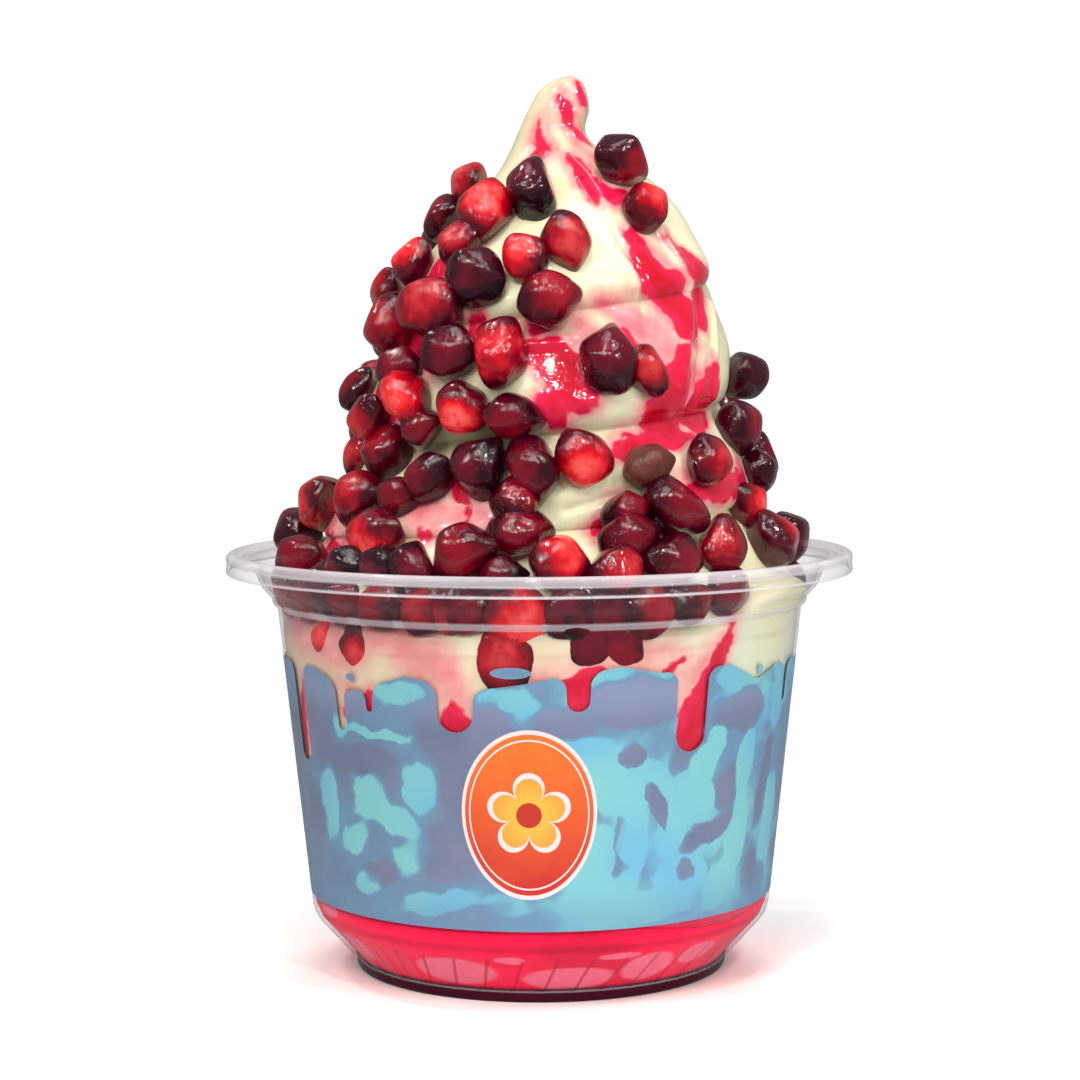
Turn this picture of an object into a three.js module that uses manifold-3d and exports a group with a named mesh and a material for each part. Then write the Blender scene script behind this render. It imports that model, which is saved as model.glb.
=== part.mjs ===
// A clear plastic cup of swirled soft-serve ice cream, topped with pomegranate seeds, over a
// layer of red syrup. Millimetres, +Z up, the origin under the middle of the foot, the front
// towards -Y.
import * as THREE from "three";
import { mergeVertices } from "three/addons/utils/BufferGeometryUtils.js";
import Module from "manifold-3d";

const wasm = await Module();
wasm.setup();

const RAD = Math.PI / 180;
const TURN = 2 * Math.PI;

// ---- Driving dimensions -------------------------------------------------------------------

const SIDES = 40; // facets round the cup and round what is in it
const GAP = 0.35; // clearance between the syrup and the ice cream, and over the floor
const WALL_GAP = 0.45; // clearance between the wall and what is in the cup

// The cup: a thin wall with a ring foot, a bevel, a straight draft, a stacking shoulder and a rim.
const WALL = 0.6;
const FOOT_RADIUS = 34.8;
const FOOT_INNER_RADIUS = 31;
const FOOT_HEIGHT = 2.2;
const FLOOR_HEIGHT = 1.4; // underside of the raised floor inside the ring foot
const BEVEL_RADIUS = 42.9;
const BEVEL_HEIGHT = 10.8;
const NECK_RADIUS = 49;
const NECK_HEIGHT = 68;
const SHOULDER_RADIUS = 52.9;
const SHOULDER_HEIGHT = 74;
const RIM_RADIUS = 58.5;
const RIM_HEIGHT = 78;
const SKIRT_BOTTOM = 74.3;

// The syrup layer and its wavy top.
const SYRUP_HEIGHT = 14.5;
const SYRUP_WAVE = 1.1;

// The mound of ice cream above the wall, from the shelf up: height, radius, lean towards +X.
const MOUND = [
  [66, 47.6, 0],
  [70, 44.6, 0],
  [75, 43, 0],
  [80, 40.6, 0.4],
  [88, 35.6, 2.2],
  [97, 32.8, 2.6],
  [108, 31.2, 2],
  [119, 29.2, 2.6],
  [128, 26.2, 4.4],
  [136, 21.6, 4.6],
  [143, 17.3, 6],
  [148, 13, 6],
  [153, 7.8, 3.4],
  [156, 6.1, 3.1],
  [160, 5.5, 4.4],
  [163.5, 4.1, 5.1],
  [165.4, 2, 5.9],
  [166, 0, 6.2],
];
const SHELF_HEIGHT = MOUND[0][0];
const SHELF_DEPTH = 8; // height over which the coil comes out of the flat shelf
const TIP_HEIGHT = MOUND[MOUND.length - 1][0];
const MOUND_RINGS = 36;
const TIP_FLAT = 0.4; // height of the last facets under the tip

// The coil: its creases cross the +X side at COIL_TOP and then lower, ever closer together.
const COIL_TOP = 128;
const COIL_DROP = 24.5; // fall in the first turn
const COIL_SQUEEZE = 2.2; // how much less each turn falls
const COIL_BULGE = 3.2; // how far a turn stands out between its creases
const COIL_SAG = 1.3; // over 1, the bulge is fullest in the lower half of a turn
const COIL_FLATNESS = 2.5; // over 2, the bulge is flatter than an arc
const COIL_DROOP = 1.2; // how far a turn hangs over the crease below
const COIL_FADE = [152, 132]; // heights between which the turns swell to their full bulge

// Slow unevenness round the mound: depth, waves round, twist with height, start.
const UNEVENNESS = [
  [0.7, 3, 0.11, 0],
  [0.45, 5, -0.17, 1],
];
const UNEVEN_FROM_RADIUS = 15; // it fades out towards the tip from here

// Where the ice cream leans on the wall right up into the shoulder.
const SLUMP_AZIMUTH = -25;
const SLUMP_SPREAD = 20;
const SLUMP_REACH = 6;
const SLUMP_TOP = 77;
const SLUMP_EDGE = 4; // height over which it ends

// Pomegranate seeds.
const SEED_WIDTH = 0.88; // of the length, for a scattered seed
const SEED_THICKNESS = 0.82; // of the length
const SEED_TAPER = 0.2; // how much narrower the point is than the blunt end
const SEED_RADIUS = 0.54; // of the length, a little over half for its flat facets
const SEED_LIFT = 0.26; // of the length: the centre above the ice cream
const SEED_LEANING = 0.4; // how far a seed follows the slope it lies on: 0 upright, 1 fully
const SEED_SPACE = 7.8; // least distance between the centres of two scattered seeds
const SEED_LENGTH = [9, 11.2];
const SEED_JITTER = 0.16; // of the spacing, along a row
const SEED_RISE = 1.6; // up or down from a row
const SEED_SLOPE = 1.5; // largest slope of a scattered seed, in radians
const SEED_TIP = 0.28; // largest tilt out of the surface, in radians
const RANDOM_START = 2027;

// Seeds on the front, tier by tier from the top: azimuth, height, length, slope of the long axis,
// and width as a share of the length.
const FRONT_SEEDS = [
  [-56, 147.5, 10.2, -28, 0.82], [-50, 140.8, 8.2, 40, 0.95], [-112, 142.6, 10.8, 95, 0.74],
  [-168, 144.4, 8.4, 20, 0.9], [-130, 139.3, 10.8, 85, 0.8], [-169, 138.4, 8.6, 55, 0.85],
  [-133, 134.4, 8.4, 50, 0.8], [-89, 134.4, 10.2, -70, 0.78], [-103, 132, 8.2, 80, 0.96],
  [-118, 128.6, 10, 0, 0.98], [-157, 131.6, 8, 75, 0.96], [-178, 126.4, 8.2, 65, 0.9],
  [-95, 125.5, 10.4, 20, 0.9], [-131, 123.5, 11.8, 0, 0.84], [-157, 121, 10.8, 100, 0.66],
  [-121, 115, 9.8, 10, 0.92], [-105, 115.2, 11.4, 85, 0.76], [-141, 112.4, 8.6, 10, 0.8],
  [-74, 114.2, 11, 88, 0.84], [-62, 112.4, 8.4, -60, 0.78], [1, 111.7, 9.6, -20, 0.9],
  [-168, 108.5, 8, 60, 0.8], [-151, 104.5, 8.4, 60, 0.85], [-135, 108.2, 10.8, -45, 0.7],
  [-115, 106.4, 9.2, -75, 0.92], [-100, 105.5, 10, -5, 0.74], [-130, 103.6, 8, 30, 0.8],
  [-18, 100.6, 9.6, -55, 0.92], [-14, 93.2, 7.8, -70, 0.8], [-147, 96.5, 9.8, 72, 0.86],
  [-178, 96.6, 7.6, 60, 0.85], [-125, 93, 8.8, 45, 0.84], [-110, 94.8, 10.2, 65, 0.94],
  [-95, 94.6, 11, -76, 0.72], [-82, 96.4, 10.4, -58, 0.84], [-64, 95.5, 9.6, 15, 0.72],
  [-44, 96, 8.8, 50, 0.96], [-99, 90.2, 8.4, 50, 0.92], [-58, 89.2, 12, -36, 0.64],
  [-71, 88.6, 8.2, 28, 0.75], [-58, 85, 8.8, 0, 0.8], [-134, 90, 7.8, 25, 0.8],
  [-177, 87, 11.4, 12, 0.86], [-147, 89, 10.4, 28, 0.84], [-134, 83.6, 10, 35, 0.92],
  [-25, 86, 8.2, -60, 0.85], [-22, 81, 11, -20, 0.84], [0, 79.6, 10, -60, 0.8],
  [-45, 81.7, 9, 65, 0.88], [-69, 82.1, 10, 12, 0.8], [-60, 79.4, 10, 5, 0.85],
  [-96, 82.4, 10.8, 10, 0.68], [-106.5, 81.2, 11, 20, 0.8], [-86, 79.6, 9.8, 0, 0.9],
  [-73, 78, 9.6, 8, 0.78], [-98, 77, 8, 20, 0.85], [-159, 78, 10, 28, 0.75],
  [-137, 77.8, 8.4, 0, 0.85], [-126, 78, 8.6, 20, 0.85], [-118, 78.4, 8.4, -40, 0.85],
];

// Seeds this low lie in the gap beside the wall: height, distance of their centres from the axis.
const SEEDS_BESIDE_WALL = [
  [70, 45.2],
  [75, 46],
  [79, 46.4],
  [82, 45.6],
];

// Rows of seeds where none is set by hand: height, first and last azimuth, spacing along the row.
const SEED_ROWS = [
  [72.5, -172, -44, 10.2],
  [72.5, -4, 180, 10.4],
  [79.5, 8, 174, 10.4],
  [87, 16, 152, 13],
  [94.5, 8, 150, 14],
  [102, 24, 150, 14],
  [109.5, 40, 148, 14],
  [117, 52, 150, 13.5],
  [125, 66, 146, 12],
  [133, 84, 150, 12],
  [141, 70, 150, 13],
];

// ---- Solids -------------------------------------------------------------------------------

function solidOf(geometry) {
  const bare = geometry.clone();
  bare.deleteAttribute("normal");
  bare.deleteAttribute("uv");
  const merged = mergeVertices(bare, 1e-4);
  const vertProperties = new Float32Array(merged.attributes.position.array);
  const triVerts = new Uint32Array(merged.index.array);
  return new wasm.Manifold(new wasm.Mesh({ numProp: 3, vertProperties, triVerts }));
}

function geometryOf(solid) {
  const mesh = solid.getMesh();
  const geometry = new THREE.BufferGeometry();
  const points = new THREE.Float32BufferAttribute(mesh.vertProperties, 3);
  geometry.setAttribute("position", points);
  geometry.setIndex(new THREE.BufferAttribute(mesh.triVerts, 1));
  return geometry;
}

// Turns a profile of [radius, height] round the Z axis.
function turned(profile) {
  const points = profile.map(([radius, height]) => new THREE.Vector2(radius, height));
  return new THREE.LatheGeometry(points, SIDES, -Math.PI / 2).rotateX(Math.PI / 2);
}

// A closed skin over rings of points, listed from the lowest to the highest, with a pole at each end.
function skinOver(bottomPole, rings, topPole) {
  const points = [bottomPole, ...rings.flat(), topPole];
  const sides = rings[0].length;
  const faces = [];
  const at = (ring, side) => 1 + ring * sides + (side % sides);
  const top = points.length - 1;
  for (let side = 0; side < sides; side++) {
    faces.push(0, at(0, side + 1), at(0, side));
    for (let ring = 1; ring < rings.length; ring++) {
      faces.push(at(ring - 1, side), at(ring - 1, side + 1), at(ring, side + 1));
      faces.push(at(ring - 1, side), at(ring, side + 1), at(ring, side));
    }
    faces.push(at(rings.length - 1, side), at(rings.length - 1, side + 1), top);
  }
  const geometry = new THREE.BufferGeometry().setFromPoints(points);
  return geometry.setIndex(faces);
}

// The value of a column of a table at a height, on a smooth curve through the rows.
function smoothAt(rows, height, column) {
  const last = rows.length - 1;
  const z = THREE.MathUtils.clamp(height, rows[0][0], rows[last][0]);
  const k = Math.max(0, rows.findIndex((row) => row[0] >= z) - 1);
  const slope = (i) => {
    const before = rows[Math.max(i - 1, 0)];
    const after = rows[Math.min(i + 1, last)];
    return (after[column] - before[column]) / (after[0] - before[0]);
  };
  const span = rows[k + 1][0] - rows[k][0];
  const t = (z - rows[k][0]) / span;
  const start = (1 + 2 * t) * (1 - t) ** 2 * rows[k][column] + t * (1 - t) ** 2 * span * slope(k);
  const end = t * t * (3 - 2 * t) * rows[k + 1][column] + t * t * (t - 1) * span * slope(k + 1);
  return start + end;
}

// The radius of a profile of [radius, height] at a height, on straight lines.
function radiusAt(profile, height) {
  const k = profile.findIndex((point, i) => i > 0 && point[1] >= height);
  const [[r0, z0], [r1, z1]] = [profile[k - 1], profile[k]];
  return r0 + ((r1 - r0) * (height - z0)) / (z1 - z0);
}

// ---- The cup ------------------------------------------------------------------------------

const OUTSIDE = [
  [FOOT_INNER_RADIUS, 0],
  [FOOT_RADIUS - 0.4, 0],
  [FOOT_RADIUS, 0.5],
  [FOOT_RADIUS + 0.1, FOOT_HEIGHT],
  [BEVEL_RADIUS - 1, BEVEL_HEIGHT - 1.2],
  [BEVEL_RADIUS - 0.2, BEVEL_HEIGHT],
  [BEVEL_RADIUS + 0.15, BEVEL_HEIGHT + 1.6],
  [NECK_RADIUS, NECK_HEIGHT],
  [NECK_RADIUS + 0.9, NECK_HEIGHT + 0.6],
  [NECK_RADIUS + 1.1, NECK_HEIGHT + 1.8],
  [SHOULDER_RADIUS - 0.9, SHOULDER_HEIGHT - 2.2],
  [SHOULDER_RADIUS, SHOULDER_HEIGHT],
  [SHOULDER_RADIUS + 0.4, SHOULDER_HEIGHT + 1.8],
];

const RIM = [
  [RIM_RADIUS - 1, RIM_HEIGHT - 1.4],
  [RIM_RADIUS - 0.7, SKIRT_BOTTOM],
  [RIM_RADIUS, SKIRT_BOTTOM],
  [RIM_RADIUS, RIM_HEIGHT - 0.8],
  [RIM_RADIUS - 0.6, RIM_HEIGHT],
  [RIM_RADIUS - 1.9, RIM_HEIGHT],
  [RIM_RADIUS - 2.6, RIM_HEIGHT - 0.7],
  [RIM_RADIUS - 4.4, RIM_HEIGHT - 0.8],
];

// The inside of the wall, from the floor up.
const INSIDE = [
  [FOOT_RADIUS - WALL, FLOOR_HEIGHT + WALL],
  [FOOT_RADIUS - WALL + 0.2, FOOT_HEIGHT + 0.4],
  [BEVEL_RADIUS - 1 - WALL, BEVEL_HEIGHT - 0.6],
  [BEVEL_RADIUS - WALL, BEVEL_HEIGHT + 1.6],
  [NECK_RADIUS - WALL, NECK_HEIGHT + 0.2],
  [NECK_RADIUS + 0.4, NECK_HEIGHT + 1.2],
  [NECK_RADIUS + 0.5, NECK_HEIGHT + 2.1],
  [SHOULDER_RADIUS - 1.5, SHOULDER_HEIGHT - 2],
  [SHOULDER_RADIUS - 0.6, SHOULDER_HEIGHT + 0.2],
  [SHOULDER_RADIUS - 0.2, SHOULDER_HEIGHT + 2.4],
];

function cup() {
  const floor = [0, FLOOR_HEIGHT + WALL];
  const underside = [
    [0, FLOOR_HEIGHT],
    [FOOT_INNER_RADIUS - 1.4, FLOOR_HEIGHT],
  ];
  return turned([...underside, ...OUTSIDE, ...RIM, ...[...INSIDE].reverse(), floor]);
}

// The space inside the cup less the clearance, open upwards to well above the ice cream.
function insideOfCup() {
  const floor = FLOOR_HEIGHT + WALL + GAP;
  const wall = INSIDE.slice(1).map(([radius, height]) => [radius - WALL_GAP, height]);
  const widest = wall[wall.length - 1][0];
  const lid = TIP_HEIGHT + GAP;
  return solidOf(turned([[0, floor], [FOOT_INNER_RADIUS, floor], ...wall, [widest, lid], [0, lid]]));
}

// ---- Syrup and ice cream ------------------------------------------------------------------

function syrupTop(azimuth, radius) {
  const wave = Math.sin(3 * azimuth + 0.6) + 0.6 * Math.sin(5 * azimuth + 2);
  return SYRUP_HEIGHT + (SYRUP_WAVE * wave * radius) / BEVEL_RADIUS;
}

function ringOf(place) {
  return Array.from({ length: SIDES }, (_, side) => place((side / SIDES) * TURN));
}

function polar(azimuth, radius, height) {
  return new THREE.Vector3(radius * Math.cos(azimuth), radius * Math.sin(azimuth), height);
}

// The shared boundary of syrup and ice cream, as rings from the middle out, raised by a step.
function boundaryRings(step) {
  const edge = radiusAt(INSIDE, SYRUP_HEIGHT) - WALL_GAP;
  return [1 / 3, 2 / 3, 1].map((share) => ringOf((azimuth) =>
    polar(azimuth, share * edge, syrupTop(azimuth, share * edge) + step)));
}

function syrup() {
  const floor = FLOOR_HEIGHT + WALL + GAP;
  const [foot, ...wall] = INSIDE.slice(0, 4).map(([radius, height]) => [radius - WALL_GAP, height]);
  const sides = [[foot[0], floor], ...wall].map(([radius, height]) =>
    ringOf((azimuth) => polar(azimuth, radius, height)));
  const top = boundaryRings(0).reverse();
  return skinOver(polar(0, 0, floor), [...sides, ...top], polar(0, 0, SYRUP_HEIGHT));
}

function turnsBelow(height) {
  const root = COIL_DROP ** 2 - 4 * COIL_SQUEEZE * (COIL_TOP - height);
  return (COIL_DROP - Math.sqrt(Math.max(root, 0))) / (2 * COIL_SQUEEZE);
}

// How far a turn of the coil stands out, from 0 in its creases to 1.
function coilBulge(azimuth, height) {
  const phase = turnsBelow(height) + azimuth / TURN;
  const within = phase - Math.floor(phase);
  const [none, full] = COIL_FADE;
  const swelling = THREE.MathUtils.clamp((none - height) / (none - full), 0, 1);
  return swelling * (1 - Math.abs(2 * within ** COIL_SAG - 1) ** COIL_FLATNESS);
}

function slump(azimuth, height) {
  const off = (azimuth / RAD - SLUMP_AZIMUTH) / SLUMP_SPREAD;
  const ending = THREE.MathUtils.smoothstep(SLUMP_TOP - height, 0, SLUMP_EDGE);
  return SLUMP_REACH * Math.exp(-off * off) * ending;
}

// A point of the mound's surface at an azimuth and a height.
function moundPoint(azimuth, height) {
  const base = smoothAt(MOUND, height, 1);
  const uneven = UNEVENNESS.reduce((sum, [depth, waves, twist, start]) =>
    sum + depth * Math.sin(waves * azimuth + twist * height + start), 0);
  const bulge = coilBulge(azimuth, height);
  const emerging = THREE.MathUtils.smoothstep(height, SHELF_HEIGHT, SHELF_HEIGHT + SHELF_DEPTH);
  const swell = COIL_BULGE * bulge + uneven * Math.min(1, base / UNEVEN_FROM_RADIUS);
  const radius = base + emerging * swell + slump(azimuth, height);
  const point = polar(azimuth, radius, height - COIL_DROOP * bulge * emerging);
  point.x += smoothAt(MOUND, height, 2);
  return point;
}

function moundNormal(azimuth, height) {
  const round = moundPoint(azimuth + 0.02, height).sub(moundPoint(azimuth - 0.02, height));
  const up = moundPoint(azimuth, height + 0.8).sub(moundPoint(azimuth, height - 0.8));
  return round.cross(up).normalize();
}

function iceCream() {
  const against = [SYRUP_HEIGHT + 8, SHELF_HEIGHT - 6].map((height) =>
    ringOf((azimuth) => polar(azimuth, radiusAt(INSIDE, height) - WALL_GAP, height)));
  const rise = (TIP_HEIGHT - TIP_FLAT - SHELF_HEIGHT) / (MOUND_RINGS - 1);
  const mound = Array.from({ length: MOUND_RINGS }, (_, k) => ringOf((azimuth) =>
    moundPoint(azimuth > Math.PI ? azimuth - TURN : azimuth, SHELF_HEIGHT + k * rise)));
  const rings = [...boundaryRings(GAP), ...against, ...mound];
  return skinOver(polar(0, 0, SYRUP_HEIGHT + GAP), rings, moundPoint(0, TIP_HEIGHT));
}

// ---- Pomegranate seeds --------------------------------------------------------------------

function makeRandom(start) {
  let state = start;
  return (low, high) => {
    state = (state * 16807) % 2147483647;
    return low + ((high - low) * state) / 2147483647;
  };
}

// A faceted drop, blunt at one end, lying along a slope on the ice cream.
function seed({ azimuth, height, length, slope, width, tip }) {
  const shape = new THREE.IcosahedronGeometry(SEED_RADIUS, 0);
  const corners = shape.attributes.position;
  for (let i = 0; i < corners.count; i++) {
    const girth = 1 - 2 * SEED_TAPER * corners.getZ(i);
    corners.setX(i, width * girth * corners.getX(i));
    corners.setY(i, SEED_THICKNESS * girth * corners.getY(i));
  }
  const out = moundNormal(azimuth, height);
  out.setZ(SEED_LEANING * out.z).normalize();
  const level = new THREE.Vector3(-Math.sin(azimuth), Math.cos(azimuth), 0);
  const up = new THREE.Vector3().crossVectors(out, level).normalize();
  const along = level.multiplyScalar(Math.cos(slope)).addScaledVector(up, Math.sin(slope));
  along.addScaledVector(out, Math.sin(tip)).normalize();
  const across = new THREE.Vector3().crossVectors(out, along).normalize();
  const outward = new THREE.Vector3().crossVectors(along, across);
  const place = new THREE.Matrix4().makeBasis(across, outward, along);
  place.setPosition(seedCentre({ azimuth, height, length }));
  return shape.scale(length, length, length).applyMatrix4(place);
}

function seedCentre({ azimuth, height, length }) {
  const [top] = SEEDS_BESIDE_WALL[SEEDS_BESIDE_WALL.length - 1];
  if (height <= top) return polar(azimuth, smoothAt(SEEDS_BESIDE_WALL, height, 1), height);
  const lift = SEED_LIFT * length;
  return moundPoint(azimuth, height).addScaledVector(moundNormal(azimuth, height), lift);
}

function seedPlaces() {
  const random = makeRandom(RANDOM_START);
  const places = FRONT_SEEDS.map(([azimuth, height, length, slope, width]) => {
    const tip = random(-SEED_TIP, SEED_TIP);
    return { azimuth: azimuth * RAD, height, length, slope: slope * RAD, width, tip };
  });
  for (const [rowHeight, first, last, spacing] of SEED_ROWS) {
    const radius = smoothAt(MOUND, rowHeight, 1) + COIL_BULGE;
    const steps = Math.floor(((last - first) * RAD * radius) / spacing);
    for (let k = 0; k <= steps; k++) {
      const share = (k + random(-SEED_JITTER, SEED_JITTER)) / steps;
      const place = {
        azimuth: (first + (last - first) * share) * RAD,
        height: rowHeight + random(-SEED_RISE, SEED_RISE),
        length: random(...SEED_LENGTH),
        slope: random(-SEED_SLOPE, SEED_SLOPE),
        width: SEED_WIDTH,
        tip: random(-SEED_TIP, SEED_TIP),
      };
      const centre = seedCentre(place);
      if (places.every((other) => seedCentre(other).distanceTo(centre) > SEED_SPACE)) {
        places.push(place);
      }
    }
  }
  return places;
}

function iceCreamWithSeeds() {
  const mound = solidOf(iceCream());
  const topped = seedPlaces().reduce((solid, place) => solid.add(solidOf(seed(place))), mound);
  return geometryOf(topped.intersect(insideOfCup()));
}

// ---- The part -----------------------------------------------------------------------------

function piece(name, geometry, color, roughness, metalness, opacity = 1) {
  const material = new THREE.MeshStandardMaterial({ color, roughness, metalness, opacity });
  material.transparent = opacity < 1;
  const mesh = new THREE.Mesh(geometry, material);
  mesh.name = name;
  return mesh;
}

const iceCreamCup = new THREE.Group();
iceCreamCup.add(piece("cup", cup(), 0xd6d4d6, 0.22, 0, 0.35));
iceCreamCup.add(piece("syrup", syrup(), 0xc8173a, 0.2, 0));
iceCreamCup.add(piece("soft_serve", iceCreamWithSeeds(), 0xefe9cf, 0.45, 0));

export default iceCreamCup;
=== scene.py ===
"""Looks for a clear cup of soft ice cream topped with pomegranate seeds, over red syrup.
Shapes are worked out in millimetres, +Z up, the front towards -Y, and placed in metres."""

import math

import bmesh
import bpy
import numpy as np
from mathutils import Matrix, Vector


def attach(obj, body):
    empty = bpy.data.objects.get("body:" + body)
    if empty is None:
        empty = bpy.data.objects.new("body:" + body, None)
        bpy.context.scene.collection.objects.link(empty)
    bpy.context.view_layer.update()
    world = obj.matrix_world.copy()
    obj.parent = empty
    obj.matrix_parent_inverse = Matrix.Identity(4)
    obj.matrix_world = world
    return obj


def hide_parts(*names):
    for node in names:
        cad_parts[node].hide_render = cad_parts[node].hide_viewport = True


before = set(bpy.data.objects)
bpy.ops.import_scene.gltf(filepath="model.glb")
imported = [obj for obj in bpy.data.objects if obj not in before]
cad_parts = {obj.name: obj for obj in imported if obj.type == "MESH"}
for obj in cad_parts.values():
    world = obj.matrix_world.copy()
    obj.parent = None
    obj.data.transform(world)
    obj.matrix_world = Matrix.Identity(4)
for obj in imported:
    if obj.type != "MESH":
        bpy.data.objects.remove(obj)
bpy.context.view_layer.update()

MM = 0.001
TURN = 2 * math.pi

# ---- Dimensions, in millimetres -----------------------------------------------------------

WALL = 0.6
FOOT_RADIUS = 34.8
FOOT_INNER_RADIUS = 31
FOOT_HEIGHT = 2.2
FLOOR_HEIGHT = 1.4
BEVEL_RADIUS = 42.9
BEVEL_HEIGHT = 10.8
NECK_RADIUS = 49
NECK_HEIGHT = 68
SHOULDER_RADIUS = 52.9
SHOULDER_HEIGHT = 74
RIM_RADIUS = 58.5
RIM_HEIGHT = 78
SKIRT_BOTTOM = 74.3
INTO_WALL = 0.15  # how far the contents reach into the wall

SYRUP_HEIGHT = 14.5
SYRUP_WAVE = 1.1
SYRUP_COLUMNS = 240

# The mound of ice cream: height, radius, lean towards +X.
MOUND = np.array([
    (66, 47.6, 0), (70, 44.6, 0), (75, 43, 0), (80, 40.6, 0.4), (88, 35.6, 2.2), (97, 32.8, 2.6),
    (108, 31.2, 2), (119, 29.2, 2.6), (128, 26.2, 4.4), (136, 21.6, 4.6), (143, 17.3, 6),
    (148, 13, 6), (153, 7.8, 3.4), (156, 6.1, 3.1), (160, 5.5, 4.4), (163.5, 4.1, 5.1),
    (165.4, 2, 5.9), (166, 0, 6.2),
])
SHELF_HEIGHT = 66
SHELF_DEPTH = 8
TIP_HEIGHT = 166
COIL_TOP = 128
COIL_DROP = 24.5
COIL_SQUEEZE = 2.2
COIL_BULGE = 3.2
COIL_SAG = 1.3
COIL_FLATNESS = 2.5
COIL_DROOP = 1.2
COIL_FADE = (152, 132)
UNEVENNESS = [(0.7, 3, 0.11, 0), (0.45, 5, -0.17, 1)]
UNEVEN_FROM_RADIUS = 15
SLUMP_AZIMUTH = -25
SLUMP_SPREAD = 20
SLUMP_REACH = 6
SLUMP_TOP = 77
SLUMP_EDGE = 4
STREAK_RELIEF = 0.22
RIPPLE_RELIEF = 0.14
CREAM_COLUMNS = 300
CREAM_STEP = 0.36

SEED_WIDTH = 0.88
SEED_THICKNESS = 0.82
SEED_TAPER = 0.2
SEED_RADIUS = 0.57
SEED_LENGTHENING = 1.06
FACET_SHARPNESS = 9
SEED_LIFT = 0.26
SEED_LEANING = 0.4
SEED_SPACE = 7.8
SEED_LENGTH = (9, 11.2)
SEED_JITTER = 0.16
SEED_RISE = 1.6
SEED_SLOPE = 1.5
SEED_TIP = 0.28
SEED_SHAPES = 9
SEED_SUBDIVISIONS = 4
SHADED_BELOW, SHADED_TONE = 75, 0.6  # seeds this low on the front are darker
SEED_PRESSED = 0.12  # how much further into the wall than the ice cream seeds reach
# Where each stream of random numbers starts.
RANDOM_START, TONE_START, SHAPE_START, NOTCH_START = 2027, 77, 4177, 911

# Seeds on the front, from the top: azimuth, height, length, slope of the long axis, width as a
# share of the length, and tone, from 0 nearly black over 1 maroon and 2 red to 3 bright with a
# pale heart; 4 is dry and brown. A low tone is partly the seed's own colour and partly painted
# shade where the seed lies in shade.
FRONT_SEEDS = [
    (-56, 147.5, 10.2, -28, 0.82, 1.4), (-50, 140.8, 8.2, 40, 0.95, 3),
    (-112, 142.6, 10.8, 95, 0.74, 0), (-168, 144.4, 8.4, 20, 0.9, 2.4),
    (-130, 139.3, 10.8, 85, 0.8, 2.8), (-169, 138.4, 8.6, 55, 0.85, 1),
    (-133, 134.4, 8.4, 50, 0.8, 2), (-89, 134.4, 10.2, -70, 0.78, 2.2),
    (-103, 132, 8.2, 80, 0.96, 3), (-118, 128.6, 10, 0, 0.98, 0), (-157, 131.6, 8, 75, 0.96, 3),
    (-178, 126.4, 8.2, 65, 0.9, 2), (-95, 125.5, 10.4, 20, 0.9, 1.6),
    (-131, 123.5, 11.8, 0, 0.84, 2), (-157, 121, 10.8, 100, 0.66, 1.7),
    (-121, 115, 9.8, 10, 0.92, 0.7), (-105, 115.2, 11.4, 85, 0.76, 2.8),
    (-141, 112.4, 8.6, 10, 0.8, 1), (-74, 114.2, 11, 88, 0.84, 0.6),
    (-62, 112.4, 8.4, -60, 0.78, 2), (1, 111.7, 9.6, -20, 0.9, 1), (-168, 108.5, 8, 60, 0.8, 1),
    (-151, 104.5, 8.4, 60, 0.85, 2), (-135, 108.2, 10.8, -45, 0.7, 3),
    (-115, 106.4, 9.2, -75, 0.92, 3), (-100, 105.5, 10, -5, 0.74, 1), (-130, 103.6, 8, 30, 0.8, 1),
    (-18, 100.6, 9.6, -55, 0.92, 1), (-14, 93.2, 7.8, -70, 0.8, 1),
    (-147, 96.5, 9.8, 72, 0.86, 1.5), (-178, 96.6, 7.6, 60, 0.85, 2),
    (-125, 93, 8.8, 45, 0.84, 0.8), (-110, 94.8, 10.2, 65, 0.94, 0), (-95, 94.6, 11, -76, 0.72, 1),
    (-82, 96.4, 10.4, -58, 0.84, 3), (-64, 95.5, 9.6, 15, 0.72, 4), (-44, 96, 8.8, 50, 0.96, 2.2),
    (-99, 90.2, 8.4, 50, 0.92, 1.3), (-58, 89.2, 12, -36, 0.64, 1), (-71, 88.6, 8.2, 28, 0.75, 1),
    (-58, 85, 8.8, 0, 0.8, 0), (-134, 90, 7.8, 25, 0.8, 1), (-177, 87, 11.4, 12, 0.86, 3),
    (-147, 89, 10.4, 28, 0.84, 2), (-134, 83.6, 10, 35, 0.92, 3), (-25, 86, 8.2, -60, 0.85, 2.8),
    (-22, 81, 11, -20, 0.84, 2), (0, 79.6, 10, -60, 0.8, 1), (-45, 81.7, 9, 65, 0.88, 2),
    (-69, 82.1, 10, 12, 0.8, 1), (-60, 79.4, 10, 5, 0.85, 1), (-96, 82.4, 10.8, 10, 0.68, 1),
    (-106.5, 81.2, 11, 20, 0.8, 1.4), (-86, 79.6, 9.8, 0, 0.9, 2.8), (-73, 78, 9.6, 8, 0.78, 2),
    (-98, 77, 8, 20, 0.85, 0), (-159, 78, 10, 28, 0.75, 1), (-137, 77.8, 8.4, 0, 0.85, 0),
    (-126, 78, 8.6, 20, 0.85, 0), (-118, 78.4, 8.4, -40, 0.85, 0),
]
SEEDS_BESIDE_WALL = np.array([(70, 45.2), (75, 46), (79, 46.4), (82, 45.6)])
SEED_ROWS = [
    (72.5, -172, -44, 10.2), (72.5, -4, 180, 10.4), (79.5, 8, 174, 10.4), (87, 16, 152, 13),
    (94.5, 8, 150, 14), (102, 24, 150, 14), (109.5, 40, 148, 14), (117, 52, 150, 13.5),
    (125, 66, 146, 12), (133, 84, 150, 12), (141, 70, 150, 13),
]
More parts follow.
